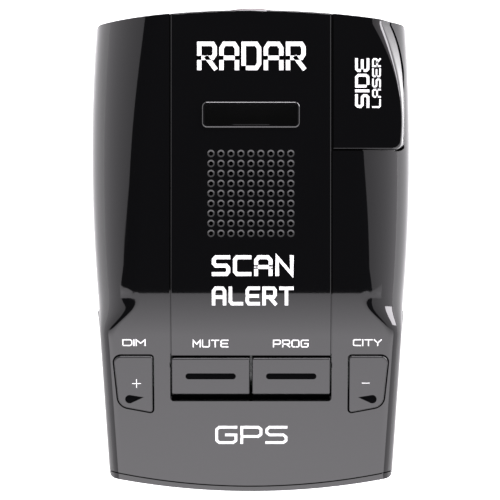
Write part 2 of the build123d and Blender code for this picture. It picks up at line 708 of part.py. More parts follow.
def upper_case():
    shell = envelope() - cavity()
    shell -= block((-CASE_WIDTH, CASE_WIDTH), (2 * REAR_Y, 2 * FRONT_Y), (-1, SPLIT_Z + SPLIT_GAP))
    shell += channel_frame()
    for place in four_sides(SCREW_POSTS):
        post = well(place, SPLIT_Z - 3.7, CASE_HEIGHT, UPPER_POST_RADIUS) & envelope(WALL / 2)
        shell += post
    for place in LASER_POSTS:
        post = well(place, LASER_BOARD_TOP, CASE_HEIGHT, POST_RADIUS + 0.4) & under_skin(WALL / 2)
        shell += post
    for side in (-1, 1):
        post = Pos(side * POST_X, CENTRE_KEY_MIDDLE) * Circle(POST_RADIUS)
        shell += key_prism(post, FLOOR_DEPTH - 1, KEY_BOARD_TOP)
    shell -= slab(-9, PANEL_THICKNESS, (-CHANNEL_HALF, CHANNEL_HALF), (PANEL_REAR_Y - 1.5, FRONT_Y + 9))
    shell -= key_openings()
    shell -= behind_seam()
    shell -= window_rectangle(DISPLAY_CLEARANCE)
    shell -= pod_block(SEAM_GAP) - under_skin(POD_SKIN) - outside_pod_edge()
    shell -= block(POD_OPENING[:2], POD_OPENING[2:], (SPLIT_Z, CASE_HEIGHT))
    shell -= prism(speaker_square(SPEAKER_OPENING), CASE_HEIGHT - FLOOR_DEPTH - 1, CASE_HEIGHT)
    shell -= prism(socket_rectangle(0.1), CASE_HEIGHT - FLOOR_DEPTH - 1, CASE_HEIGHT)
    for place in PANEL_PEGS:
        shell -= well(place, SPLIT_Z + 5, CASE_HEIGHT, PEG_RADIUS + PEG_CLEARANCE)
    for place in four_sides(SCREW_POSTS):
        shell -= well(place, 0, UPPER_POST_HOLE_TOP, SCREW_RADIUS + SCREW_CLEARANCE / 3)
    for place in LASER_POSTS:
        shell -= well(place, LASER_BOARD_TOP - 1, LASER_BOARD_TOP + 4, SMALL_SCREW_RADIUS + 0.05)
    for side in (-1, 1):
        hole = Pos(side * POST_X, CENTRE_KEY_MIDDLE) * Circle(SMALL_SCREW_RADIUS + 0.05)
        shell -= key_prism(hole, FLOOR_DEPTH + 0.6, KEY_BOARD_TOP + 1)
    return shell


def centre_panel():
    half = CHANNEL_HALF - SEAM_GAP
    panel = slab(0, PANEL_THICKNESS - 0.02, (-half, half), (PANEL_REAR_Y, FRONT_Y + 9)) & prism(plan(), 0, 99)
    keys = key_rectangle((-HALF_WIDTH, HALF_WIDTH), (-CASE_LENGTH, CENTRE_KEY_FRONT + KEY_GAP))
    panel -= key_prism(keys, -9, 9)
    top_edges = [e for e in panel.edges() if all(v.Z > top_z(v.Y) - 0.01 for v in e.vertices())]
    panel = fillet(top_edges, PANEL_EDGE_RADIUS)
    for place in PANEL_PEGS:
        under = top_z(place[1])
        panel += well(place, under - FLOOR_DEPTH - 1.2, under - PANEL_THICKNESS + 0.6, PEG_RADIUS)
    panel -= prism(socket_rectangle(0.1), 0, CASE_HEIGHT + 1)
    span = (GRILLE_COUNT - 1) / 2
    holes = []
    for i in range(GRILLE_COUNT):
        for j in range(GRILLE_COUNT):
            place = ((i - span) * GRILLE_PITCH, GRILLE_Y + (j - span) * GRILLE_PITCH)
            holes.append(well(place, CASE_HEIGHT - 3, CASE_HEIGHT + 1, GRILLE_HOLE / 2))
            cone = Cone(GRILLE_HOLE / 2, GRILLE_FLARE / 2, GRILLE_FLARE_DEPTH)
            holes.append(Pos(place[0], place[1], CASE_HEIGHT - GRILLE_FLARE_DEPTH / 2) * cone)
    return panel - holes


def laser_pod():
    form = crowned_pod() & prism(plan(), 0, 99)
    pod = form - under_skin(POD_SKIN) - (outside_pod_edge() & under_skin(0.0))
    ceiling = block((0, CASE_WIDTH), (0, FRONT_Y - POD_WALL - 3.5), (0, CASE_HEIGHT - POD_WALL))
    return pod - (pod_block(-POD_WALL) & ceiling)


def front_window():
    opening = window_rectangle()
    outer = (prism(plan(), 0, 99) - prism(plan(WALL + 0.1), 0, 99)) & opening
    flange = (prism(plan(WALL + 0.05), 0, 99) - prism(plan(WALL + 1.0), 0, 99)) & window_rectangle(1.2)
    front = block((-CASE_WIDTH, CASE_WIDTH), (FRONT_CORNER[1] - 4, FRONT_Y + 5), (0, CASE_HEIGHT))
    window = (outer + flange) & front
    return window - lens_rectangle(0.12)


def front_lens():
    edge_y = front_edge(LENS_HALF) - 0.2
    back = front_edge(LENS_HALF) - WALL - 2.2
    arc = ThreePointArc((-LENS_HALF, edge_y), (0, FRONT_Y + LENS_PROUD), (LENS_HALF, edge_y))
    sides = Polyline((LENS_HALF, edge_y), (LENS_HALF, back), (-LENS_HALF, back), (-LENS_HALF, edge_y))
    lens = prism(make_face([arc, sides]), 0, CASE_HEIGHT) & lens_rectangle()
    front_ends = [e for e in lens.edges() if e.center().Y > edge_y - 0.3 and e.length > LENS_HALF]
    lens = fillet(front_ends, LENS_PROUD)
    flange_front = front_edge(LENS_HALF + LENS_FLANGE) - WALL - 1.05
    flange = lens_rectangle(LENS_FLANGE) & block((-20, 20), (back, flange_front), (0, CASE_HEIGHT))
    return lens + flange


def rear_bezel():
    crescent = envelope() & behind_seam(-SEAM_GAP)
    flange = cavity(WALL, 0.15) & rear_arc_behind(BEZEL_THICKNESS) & envelope()
    above = block((-CASE_WIDTH, CASE_WIDTH), (2 * REAR_Y, 0), (BEZEL_BOTTOM, CASE_HEIGHT))
    bezel = (crescent + flange) & above
    bezel -= display_rectangle()
    return bezel - (display_rectangle(DISPLAY_REBATE) & rear_arc_behind(DISPLAY_REBATE + DISPLAY_RECESS))


def display_window():
    plate = rear_arc_behind(DISPLAY_REBATE + DISPLAY_RECESS - 0.05) - rear_arc_behind(DISPLAY_RECESS)
    return plate & display_rectangle(DISPLAY_REBATE - DISPLAY_CLEARANCE)


LABEL_SIZE = (44.0, 30.0)
LABEL_THICKNESS = 0.2
LABEL_Y = REAR_Y + 55.0
JACK_Z = BOARD_TOP + JACK_HEIGHT / 2
USB_Z = BOARD_TOP + USB_HEIGHT / 2
SLIDER_Z = BOARD_TOP + SLIDER_BODY[2] / 2
BOARD_HALF = HALF_WIDTH - BOARD_EDGE
BOARD_ENDS = (REAR_Y + 7.8, FRONT_Y - 5.8)
BOARD_SCREWS = ((19.0, REAR_Y + 11.1), (25.5, FRONT_Y - 17.3))


def port(side, y, z, width, height, radius, depth=9.0):
    """A rounded opening through one side wall."""
    face = fillet(Rectangle(width, height).vertices(), radius)
    x = side * (lower_half_width(y) + 2)
    placed = Plane(origin=(x, y, z), x_dir=(0, 1, 0), z_dir=(-side, 0, 0)) * face
    return extrude(placed, amount=depth)


def lower_case():
    shell = prism(lower_plan(), 0, SPLIT_Z)
    shell = fillet(shell.edges().group_by(Axis.Z)[0], BASE_EDGE_RADIUS)
    inner_half = REAR_CORNER[0] - WALL
    rear = block((-inner_half, inner_half), (REAR_Y - 9, REAR_CORNER[1] + 3), (BEZEL_BOTTOM, SPLIT_Z + 1))
    shell -= prism(plan(WALL + LOWER_INSET), WALL, SPLIT_Z + 1)
    shell -= rear + (behind_seam() & block((-CASE_WIDTH, CASE_WIDTH), (2 * REAR_Y, 0), (WALL, CASE_HEIGHT)))
    for place in four_sides(SCREW_POSTS):
        shell += well(place, WALL / 2, WELL_DEPTH + SEAT_THICKNESS, WELL_RADIUS + POST_WALL)
    for place in four_sides(BOARD_SCREWS):
        shell += well(place, WALL / 2, BOARD_Z, 2.4)
    for place in four_sides(SCREW_POSTS):
        shell -= well(place, -1, WELL_DEPTH, WELL_RADIUS)
        shell -= well(place, 0, SPLIT_Z, SCREW_RADIUS + SCREW_CLEARANCE)
        shell -= well(place, WELL_DEPTH + SEAT_THICKNESS, SPLIT_Z + 1, UPPER_POST_RADIUS + SPLIT_GAP)
    for place in four_sides(BOARD_SCREWS):
        shell -= well(place, WALL / 2, SPLIT_Z, SMALL_SCREW_RADIUS + 0.05)
    shell -= port(-1, JACK_Y, JACK_Z, 2 * JACK_MOUTH, 2 * JACK_MOUTH, JACK_MOUTH - 0.01)
    shell -= port(-1, USB_Y, USB_Z, USB_WIDTH + 2 * PORT_GAP, USB_HEIGHT + 2 * PORT_GAP, 0.8)
    shell -= port(
        1, SLIDER_Y + SLIDER_TRAVEL / 2, SLIDER_Z,
        SLIDER_LENGTH + SLIDER_TRAVEL + 0.8, SLIDER_HEIGHT + 0.7, 0.4,
    )
    label = fillet(Rectangle(LABEL_SIZE[0] + 0.4, LABEL_SIZE[1] + 0.4).vertices(), 1.2)
    return shell - prism(Pos(0, LABEL_Y) * label, -1, LABEL_THICKNESS + 0.1)


def rating_label():
    face = fillet(Rectangle(*LABEL_SIZE).vertices(), 1.0)
    return prism(Pos(0, LABEL_Y) * face, 0.1, LABEL_THICKNESS + 0.1)


def pan_screw(place, seat, length, direction=1):
    """A small pan-head screw: its head below the seat, its shank above it."""
    x, y = place
    head = Pos(x, y, seat - SMALL_SCREW_HEAD_HEIGHT / 2) * Cylinder(SMALL_SCREW_HEAD, SMALL_SCREW_HEAD_HEIGHT)
    head = fillet(head.edges().group_by(Axis.Z)[0], 0.4)
    shank = Pos(x, y, seat + length / 2) * Cylinder(SMALL_SCREW_RADIUS, length)
    cross = Pos(x, y, seat - SMALL_SCREW_HEAD_HEIGHT) * (Box(1.6, 0.4, 1) + Box(0.4, 1.6, 1))
    screw = head + shank - cross
    if direction < 0:
        screw = Pos(x, y, seat) * Rot(180, 0, 0) * Pos(-x, -y, -seat) * screw
    return screw


def case_screws():
    screws = []
    for x, y in four_sides(SCREW_POSTS):
        head = Pos(x, y, WELL_DEPTH - SCREW_HEAD_HEIGHT / 2) * Cylinder(SCREW_HEAD_RADIUS, SCREW_HEAD_HEIGHT)
        head = fillet(head.edges().group_by(Axis.Z)[0], 0.6)
        cross = Pos(x, y, WELL_DEPTH - SCREW_HEAD_HEIGHT) * (Box(2.8, 0.6, 2) + Box(0.6, 2.8, 2))
        screws.append(head + well((x, y), WELL_DEPTH, WELL_DEPTH + SCREW_LENGTH, SCREW_RADIUS) - cross)
    return Compound(children=[s.solid() for s in screws])


def main_board_screws():
    seat = BOARD_TOP
    return Compound(children=[pan_screw(p, seat, 3.6, -1).solid() for p in four_sides(BOARD_SCREWS)])


def bracket_socket():
    top = CASE_HEIGHT + SOCKET_PROUD
    rim = prism(socket_rectangle(), top - SOCKET_DEPTH, top)
    rim = fillet(rim.edges().group_by(Axis.Z)[-1], 0.3)
    flange_top = CASE_HEIGHT - FLOOR_DEPTH - 0.02
    rim += prism(socket_rectangle(SOCKET_FLANGE), flange_top - 1.0, flange_top)
    inside = socket_rectangle(-SOCKET_WALL, SOCKET_CORNER - SOCKET_WALL)
    return rim - prism(inside, top - SOCKET_DEPTH + 0.8, top + 1)


def bracket_spring():
    rear = SOCKET_Y - SOCKET_WIDTH / 2 + SOCKET_WALL
    floor = CASE_HEIGHT + SOCKET_PROUD - SOCKET_DEPTH + 0.8
    return block((-4, 4), (rear + 0.02, rear + 0.27), (floor + 0.05, floor + 4.5))


FLOOR_UNDER = CASE_HEIGHT - FLOOR_DEPTH
GASKET = 0.6
SPEAKER_TOP = FLOOR_UNDER - GASKET


def speaker_mesh():
    top = CASE_HEIGHT - PANEL_THICKNESS - 0.05
    return prism(speaker_square(SPEAKER_OPENING - 0.2, SPEAKER_CORNER - 0.1), top - 0.25, top)


def speaker_gasket():
    ring = speaker_square(SPEAKER_SIZE) - speaker_square(SPEAKER_OPENING + 1.2)
    return prism(ring, SPEAKER_TOP + 0.02, FLOOR_UNDER - 0.02)


def turned(points, x, y):
    """A closed outline of (radius, height) points turned about a vertical axis."""
    face = make_face(Polyline(*points, close=True))
    return Pos(x, y, 0) * revolve(Plane.XZ * face, Axis.Z)


def speaker_frame():
    plate = prism(speaker_square(SPEAKER_SIZE), SPEAKER_TOP - 1.2, SPEAKER_TOP)
    plate -= well((0, GRILLE_Y), 0, CASE_HEIGHT, CONE_RADIUS + 0.7)
    top = SPEAKER_TOP - 0.6
    low = SPEAKER_TOP - 4.2
    basket = turned(
        ((CONE_RADIUS + 1.3, top), (CONE_RADIUS + 1.3, top - 1.4), (7.0, low), (3.6, low),
         (3.6, low + 0.6), (6.6, low + 0.6), (CONE_RADIUS + 0.7, top - 1.2), (CONE_RADIUS + 0.7, top)),
        0, GRILLE_Y,
    )
    return plate + basket


def speaker_cone():
    top = SPEAKER_TOP - 0.5
    return turned(
        ((0, top - 0.9), (3.2, top - 1.6), (CONE_RADIUS - 1.6, top - 0.4), (CONE_RADIUS + 0.5, top - 0.4),
         (CONE_RADIUS + 0.5, top - 0.7), (CONE_RADIUS - 1.5, top - 0.7), (3.3, top - 2.0), (0, top - 1.2)),
        0, GRILLE_Y,
    )


def speaker_magnet():
    top = SPEAKER_TOP - 4.25
    return well((0, GRILLE_Y), top - 2.6, top, 6.4)


def main_board():
    narrow_rear = SCREW_POSTS[1][0] - WELL_RADIUS - POST_WALL - 0.7
    narrow_front = SCREW_POSTS[0][0] - WELL_RADIUS - POST_WALL - 0.7
    rear_step = SCREW_POSTS[1][1] + WELL_RADIUS + POST_WALL + 0.5
    front_step = SCREW_POSTS[0][1] - WELL_RADIUS - POST_WALL - 0.5
    z = (BOARD_Z, BOARD_TOP)
    board = block((-BOARD_HALF, BOARD_HALF), (rear_step, front_step), z)
    board += block((-narrow_rear, narrow_rear), (BOARD_ENDS[0], rear_step), z)
    board += block((-narrow_front, narrow_front), (front_step, BOARD_ENDS[1]), z)
    for place in four_sides(BOARD_SCREWS):
        board -= well(place, 0, SPLIT_Z, SMALL_SCREW_RADIUS + 0.15)
    for place in HORN_SCREWS:
        board -= well(place, 0, SPLIT_Z, SMALL_SCREW_RADIUS + 0.15)
    return board


MIXER_REAR = FRONT_Y - 44.3
HORN_REAR = MIXER_REAR + MIXER_SIZE[1] + 0.05
MIXER_Z = (BOARD_TOP + 0.02, BOARD_TOP + MIXER_SIZE[2])
HORN_SCREWS = ((-9.0, MIXER_REAR + 4), (9.0, MIXER_REAR + 4), (-9.0, MIXER_REAR + 11), (9.0, MIXER_REAR + 11))


def horn_section(size, y, low):
    face = Rectangle(*size)
    return Plane(origin=(0, y, low + size[1] / 2), x_dir=(1, 0, 0), z_dir=(0, -1, 0)) * face


def horn_antenna():
    front = HORN_REAR + HORN_LENGTH
    low = BOARD_TOP + 0.1
    outer = loft([horn_section(HORN_MOUTH, front, low), horn_section(HORN_THROAT, HORN_REAR, low + 0.3)])
    mouth = (HORN_MOUTH[0] - 2 * HORN_WALL, HORN_MOUTH[1] - 2 * HORN_WALL)
    throat = (HORN_THROAT[0] - 2 * HORN_WALL, HORN_THROAT[1] - 2 * HORN_WALL)
    inner = loft(
        [
            horn_section(mouth, front + 0.01, low + HORN_WALL),
            horn_section(throat, HORN_REAR - 0.01, low + 0.3 + HORN_WALL),
        ]
    )
    flange = block((-10, 10), (HORN_REAR, HORN_REAR + 1.2), (low, low + 10.8))
    waveguide = block((-throat[0] / 2, throat[0] / 2), (HORN_REAR - 1, HORN_REAR + 2), (low + 1.6, low + 9.0))
    return outer + flange - inner - waveguide


def mixer_block():
    half = MIXER_SIZE[0] / 2
    body = block((-half, half), (MIXER_REAR, MIXER_REAR + MIXER_SIZE[1]), MIXER_Z)
    body = fillet(body.edges().filter_by(Axis.Z), 1.0)
    body -= block(
        (-half + 1.6, half - 1.6), (MIXER_REAR + 1.6, MIXER_REAR + MIXER_SIZE[1] - 1.6),
        (MIXER_Z[0] + 5, CASE_HEIGHT),
    )
    for place in HORN_SCREWS:
        body -= well(place, 0, MIXER_Z[0] + 3.4, SMALL_SCREW_RADIUS + 0.05)
    return body


def mixer_cover():
    half = MIXER_SIZE[0] / 2
    return block(
        (-half, half), (MIXER_REAR, MIXER_REAR + MIXER_SIZE[1]), (MIXER_Z[1] + 0.02, MIXER_Z[1] + 0.8)
    )


def horn_screws():
    return Compound(children=[pan_screw(p, BOARD_Z, 4.2).solid() for p in HORN_SCREWS])


def on_board(x, y, height):
    return block(x, y, (BOARD_TOP + 0.01, BOARD_TOP + height))


CHIP_Y = KEY_Y + 10.0


def processor_chip():
    chip = on_board((-6, 6), (CHIP_Y - 6, CHIP_Y + 6), 1.4)
    return fillet(chip.edges().group_by(Axis.Z)[-1], 0.25)


def board_capacitors():
    places = ((16.0, CHIP_Y - 4), (21.0, CHIP_Y - 4), (16.0, CHIP_Y + 2.0))
    return Compound(
        children=[
            fillet(well(p, BOARD_TOP + 0.01, BOARD_TOP + 6, 2.1).edges().group_by(Axis.Z)[-1], 0.3).solid()
            for p in places
        ]
    )


def backup_cell():
    return fillet(well((-14.5, CHIP_Y + 2), BOARD_TOP + 0.01, BOARD_TOP + 2.6, 4.8).edges(), 0.3)


GPS_Y = REAR_Y + 14.8
GPS_SIZE = 14.0
GPS_BOARD_Z = 15.0


def gps_places():
    return [
        (sx * (GPS_SIZE / 2 - 0.4), GPS_Y + sy * (GPS_SIZE / 2 - 1.4)) for sx in (-1, 1) for sy in (-1, 1)
    ]


def gps_board():
    half = GPS_SIZE / 2 + 1
    return block((-half, half), (GPS_Y - GPS_SIZE / 2, GPS_Y + GPS_SIZE / 2), (GPS_BOARD_Z, GPS_BOARD_Z + 1))


def gps_patch():
    half = GPS_SIZE / 2 - 0.5
    low = GPS_BOARD_Z + 1.02
    patch = block((-half, half), (GPS_Y - half, GPS_Y + half), (low, low + 3.6))
    feed = Pos(1.2, GPS_Y, low + 3.6) * Cylinder(0.8, 0.6)
    return patch + feed


def gps_shield_can():
    can = block((-4.5, 4.5), (GPS_Y - 4.5, GPS_Y + 4.5), (GPS_BOARD_Z - 2.2, GPS_BOARD_Z - 0.02))
    return fillet(can.edges().filter_by(Axis.Z), 0.5)


def gps_standoffs():
    posts = [well(p, BOARD_TOP + 0.01, GPS_BOARD_Z - 0.02, 1.2).solid() for p in gps_places()]
    return Compound(children=posts)


KEY_BOARD_HALF = SIDE_KEY_OUTER - 1.5


def key_board():
    face = key_rectangle(
        (-KEY_BOARD_HALF, KEY_BOARD_HALF),
        (CENTRE_KEY_MIDDLE - KEY_BOARD_LENGTH / 2, CENTRE_KEY_MIDDLE + KEY_BOARD_LENGTH / 2),
    )
    board = key_prism(face, KEY_BOARD_TOP + 0.01, KEY_BOARD_BOTTOM)
    for side in (-1, 1):
        hole = Pos(side * POST_X, CENTRE_KEY_MIDDLE) * Circle(SMALL_SCREW_RADIUS + 0.15)
        board -= key_prism(hole, KEY_BOARD_TOP - 1, KEY_BOARD_BOTTOM + 1)
    return board


def key_board_screws():
    screws = []
    for side in (-1, 1):
        place = Pos(side * POST_X, CENTRE_KEY_MIDDLE)
        head = key_prism(place * Circle(SMALL_SCREW_HEAD), KEY_BOARD_BOTTOM + 0.01, KEY_BOARD_BOTTOM + 1.0)
        shank = key_prism(place * Circle(SMALL_SCREW_RADIUS), FLOOR_DEPTH + 2.0, KEY_BOARD_BOTTOM + 0.5)
        screws.append((head + shank).solid())
    return Compound(children=screws)


def key_switch_bodies():
    bodies = []
    for x, v in switch_places().values():
        place = Pos(x, v)
        body = key_prism(place * Rectangle(SWITCH_SIZE, SWITCH_SIZE), SWITCH_TOP, KEY_BOARD_TOP)
        hole = place * Circle(PLUNGER_RADIUS + PLUNGER_CLEARANCE)
        bodies.append((body - key_prism(hole, SWITCH_TOP - 1, SWITCH_TOP + 1.9)).solid())
    return Compound(children=bodies)


def plunger(name):
    place = Pos(*switch_places()[name])
    return key_prism(place * Circle(PLUNGER_RADIUS), STEM_END + 0.01, STEM_END + PLUNGER_LENGTH)


MODULE_REAR = REAR_Y + 4.7  # the flat display module stands clear of the curved bezel
MODULE_Z = (DISPLAY_BOTTOM + 0.6, DISPLAY_BOTTOM + DISPLAY_HEIGHT - 0.4)


def display_glass():
    half = DISPLAY_HALF - 1.3
    return block(
        (-half, half), (MODULE_REAR + 0.05, MODULE_REAR + 1.2), (MODULE_Z[0] + 0.8, MODULE_Z[1] - 0.8)
    )


def display_frame():
    half = DISPLAY_HALF - 0.5
    frame = block((-half, half), (MODULE_REAR, MODULE_REAR + 2.4), MODULE_Z)
    inner = half - 0.7
    frame -= block(
        (-inner, inner), (MODULE_REAR - 1, MODULE_REAR + 1.25), (MODULE_Z[0] + 0.7, MODULE_Z[1] - 0.7)
    )
    return frame


def flex_sockets():
    rear = on_board((-5, 5), (BOARD_ENDS[0] + 0.3, BOARD_ENDS[0] + 2.3), 1.6)
    keys = on_board((-5, 5), (KEY_Y + 1.4, KEY_Y + 3.6), 1.6)
    laser = on_board((20.5, 26.5), (FRONT_Y - 26.0, FRONT_Y - 23.8), 1.6)
    return Compound(children=[rear.solid(), keys.solid(), laser.solid()])


def display_ribbon():
    y = (MODULE_REAR + 2.42, BOARD_ENDS[0] + 0.9)
    flat = block((-4.5, 4.5), (y[0], y[1]), (BOARD_TOP + 2.6, BOARD_TOP + 2.75))
    drop = block((-4.5, 4.5), (y[1] - 0.15, y[1]), (BOARD_TOP + 1.62, BOARD_TOP + 2.75))
    return flat + drop


def key_ribbon():
    y = KEY_Y + 2.5
    underside = key_plane(KEY_BOARD_BOTTOM).origin
    top = underside.Z + (y - underside.Y) * math.tan(SLOPE) - 0.1
    return block((-4, 4), (y, y + 0.15), (BOARD_TOP + 1.62, top))


def laser_board():
    top = LASER_BOARD_TOP
    z = (top - BOARD_THICKNESS, top - 0.01)
    main = block((-11, 24), (FRONT_Y - 18.0, FRONT_Y - 6.0), z)
    wing = block((19.5, POD_RIGHT - 3), (POD_REAR_Y + 2, FRONT_Y - 12), z)
    board = main + wing
    for place in LASER_POSTS:
        board -= well(place, 0, CASE_HEIGHT, SMALL_SCREW_RADIUS + 0.15)
    return board


def laser_board_screws():
    seat = LASER_BOARD_TOP - BOARD_THICKNESS
    return Compound(children=[pan_screw(p, seat, 4.6).solid() for p in LASER_POSTS])


def front_photodiode():
    body = block((-3, 3), (FRONT_Y - 9.0, FRONT_Y - 6.2), (LASER_BOARD_TOP + 0.01, LASER_BOARD_TOP + 4.4))
    dome = Pos(0, FRONT_Y - 6.2, LASER_BOARD_TOP + 2.2) * Sphere(1.5)
    return body + (dome & block((-3, 3), (FRONT_Y - 6.5, FRONT_Y - 4.6), (0, CASE_HEIGHT)))


def rear_photodiode():
    x = (POD_OPENING[0] + POD_OPENING[1]) / 2
    y = POD_REAR_Y + 6.0
    body = block((x - 2.5, x + 2.5), (y, y + 2.8), (LASER_BOARD_TOP + 0.01, LASER_BOARD_TOP + 6.0))
    dome = Pos(x, y, LASER_BOARD_TOP + 3.8) * Sphere(1.5)
    return body + dome


def laser_ribbon():
    y = FRONT_Y - 25.0
    return block((21.5, 25.5), (y, y + 0.15), (BOARD_TOP + 1.62, LASER_BOARD_TOP - BOARD_THICKNESS - 0.02))


def side_axis(side, y, z):
    return Plane(origin=(0, y, z), x_dir=(0, 1, 0), z_dir=(side, 0, 0))


JACK_FACE = lower_half_width(JACK_Y) - 0.5
JACK_BODY_FACE = half_width(JACK_Y - JACK_HEIGHT / 2) - WALL - LOWER_INSET - 0.3


def power_jack():
    plane = side_axis(-1, JACK_Y, JACK_Z)
    body = block(
        (-JACK_BODY_FACE, -JACK_FACE + JACK_LENGTH), (JACK_Y - JACK_HEIGHT / 2, JACK_Y + JACK_HEIGHT / 2),
        (BOARD_TOP + 0.01, BOARD_TOP + JACK_HEIGHT),
    )
    root = plane.offset(JACK_BODY_FACE - 1)
    nose = extrude(root * Circle(JACK_MOUTH - 0.35), amount=JACK_FACE - JACK_BODY_FACE + 1)
    bore = extrude(plane.offset(JACK_FACE - JACK_BORE_DEPTH) * Circle(JACK_BORE), amount=JACK_LENGTH)
    pocket = extrude(plane.offset(JACK_FACE - JACK_BORE_DEPTH - 1) * Circle(CONTACT_RADIUS + 0.05), amount=1)
    return body + nose - bore - pocket


def power_jack_contact():
    plane = side_axis(-1, JACK_Y, JACK_Z)
    return extrude(plane.offset(JACK_FACE - JACK_BORE_DEPTH - 0.98) * Circle(CONTACT_RADIUS), amount=0.8)


USB_FACE = lower_half_width(USB_Y + USB_WIDTH / 2) - 0.9


def usb_socket():
    y = (USB_Y - USB_WIDTH / 2, USB_Y + USB_WIDTH / 2)
    z = (BOARD_TOP + 0.01, BOARD_TOP + USB_HEIGHT)
    shell = block((-USB_FACE, -USB_FACE + USB_DEPTH), y, z)
    shell = fillet(shell.edges().filter_by(Axis.X), 0.7)
    inner_y = (y[0] + USB_SHELL, y[1] - USB_SHELL)
    inner_z = (z[0] + USB_SHELL, z[1] - USB_SHELL)
    return shell - block((-USB_FACE - 1, -USB_FACE + USB_DEPTH - 0.5), inner_y, inner_z)


def usb_tongue():
    root = -USB_FACE + USB_DEPTH - 0.52
    middle = BOARD_TOP + USB_HEIGHT / 2
    back = block((root - 1.2, root), (USB_Y - 3.2, USB_Y + 3.2), (middle - 1.2, middle + 1.2))
    return back + block((-USB_FACE + 1.0, root), (USB_Y - 2.4, USB_Y + 2.4), (middle - 0.35, middle + 0.35))


SLIDER_FACE = lower_half_width(SLIDER_Y + SLIDER_TRAVEL + SLIDER_LENGTH / 2) - 0.3
SWITCH_BODY_FACE = half_width(SLIDER_Y - SLIDER_BODY[1] / 2) - WALL - LOWER_INSET - 0.3
SLIDER_STEM_LENGTH = 2.6


def power_switch_body():
    y = SLIDER_Y + SLIDER_TRAVEL / 2
    body = block(
        (SWITCH_BODY_FACE - SLIDER_BODY[0], SWITCH_BODY_FACE),
        (y - SLIDER_BODY[1] / 2, y + SLIDER_BODY[1] / 2),
        (BOARD_TOP + 0.01, BOARD_TOP + SLIDER_BODY[2]),
    )
    reach = SLIDER_TRAVEL / 2 + SLIDER_STEM / 2 + 0.4
    half = SLIDER_STEM / 2 + 0.3
    slot_x = (SWITCH_BODY_FACE - SLIDER_STEM_LENGTH - 0.4, SWITCH_BODY_FACE + 1)
    return body - block(slot_x, (y - reach, y + reach), (SLIDER_Z - half, SLIDER_Z + half))


def power_slider():
    half_z = SLIDER_HEIGHT / 2
    knob_inner = SWITCH_BODY_FACE + 0.35
    knob = block(
        (knob_inner, SLIDER_FACE), (SLIDER_Y - SLIDER_LENGTH / 2, SLIDER_Y + SLIDER_LENGTH / 2),
        (SLIDER_Z - half_z, SLIDER_Z + half_z),
    )
    for step in (-1, 0, 1):
        knob -= block(
            (SLIDER_FACE - 0.3, SLIDER_FACE + 1), (SLIDER_Y + step - 0.2, SLIDER_Y + step + 0.2),
            (SLIDER_Z - half_z - 1, SLIDER_Z + half_z + 1),
        )
    half = SLIDER_STEM / 2
    stem_x = (SWITCH_BODY_FACE - SLIDER_STEM_LENGTH, knob_inner + 0.1)
    return knob + block(stem_x, (SLIDER_Y - half, SLIDER_Y + half), (SLIDER_Z - half, SLIDER_Z + half))


def speaker_leads():
    wires = []
    for y in (GRILLE_Y - 9.0, GRILLE_Y - 7.0):
        x = SPEAKER_SIZE / 2 + 1.5
        top = SPEAKER_TOP - 0.8
        run = well((x, y), BOARD_TOP + 0.02, top, 0.45) + Pos(x, y, top) * Sphere(0.45)
        near = SPEAKER_SIZE / 2 + 0.05
        across = Pos((x + near) / 2, y, top) * Rot(0, 90, 0) * Cylinder(0.45, x - near)
        wires.append((run + across).solid())
    return Compound(children=wires)


# ------------------------------------------------------------------ everything, by name
PIECES = {
    "lower_case": lower_case,
    "upper_case": upper_case,
    "centre_panel": centre_panel,
    "laser_pod": laser_pod,
    "front_window": front_window,
    "front_lens": front_lens,
    "rear_bezel": rear_bezel,
    "display_window": display_window,
    "rating_label": rating_label,
    "case_screws": case_screws,
    "bracket_socket": bracket_socket,
    "bracket_spring": bracket_spring,
    "speaker_mesh": speaker_mesh,
    "speaker_gasket": speaker_gasket,
    "speaker_frame": speaker_frame,
    "speaker_cone": speaker_cone,
    "speaker_magnet": speaker_magnet,
    "main_board": main_board,
    "main_board_screws": main_board_screws,
    "horn_antenna": horn_antenna,
    "mixer_block": mixer_block,
    "mixer_cover": mixer_cover,
    "horn_screws": horn_screws,
    "processor_chip": processor_chip,
    "board_capacitors": board_capacitors,
    "backup_cell": backup_cell,
    "flex_sockets": flex_sockets,
    "gps_board": gps_board,
    "gps_patch": gps_patch,
    "gps_shield_can": gps_shield_can,
    "gps_standoffs": gps_standoffs,
    "key_board": key_board,
    "key_board_screws": key_board_screws,
    "key_switch_bodies": key_switch_bodies,
    "display_glass": display_glass,
    "display_frame": display_frame,
    "display_ribbon": display_ribbon,
    "key_ribbon": key_ribbon,
    "laser_board": laser_board,
    "laser_board_screws": laser_board_screws,
    "front_photodiode": front_photodiode,
    "rear_photodiode": rear_photodiode,
    "laser_ribbon": laser_ribbon,
    "power_jack": power_jack,
    "power_jack_contact": power_jack_contact,
    "usb_socket": usb_socket,
    "usb_tongue": usb_tongue,
    "power_switch_body": power_switch_body,
    "power_slider": power_slider,
    "speaker_leads": speaker_leads,
    "mute_button": lambda: centre_key(-1, "mute"),
    "prog_button": lambda: centre_key(1, "prog"),
    "plus_button": lambda: side_key(-1, "plus"),
    "minus_button": lambda: side_key(1, "minus"),
    "mute_plunger": lambda: plunger("mute"),
    "prog_plunger": lambda: plunger("prog"),
    "plus_plunger": lambda: plunger("plus"),
    "minus_plunger": lambda: plunger("minus"),
}

os.makedirs("parts", exist_ok=True)
for name, make in PIECES.items():
    export_step(make(), f"parts/{name}.step")
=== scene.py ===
import json
import math

import bmesh
import bpy
from bpy.props import FloatProperty, IntProperty, PointerProperty, StringProperty
from mathutils import Matrix, Vector


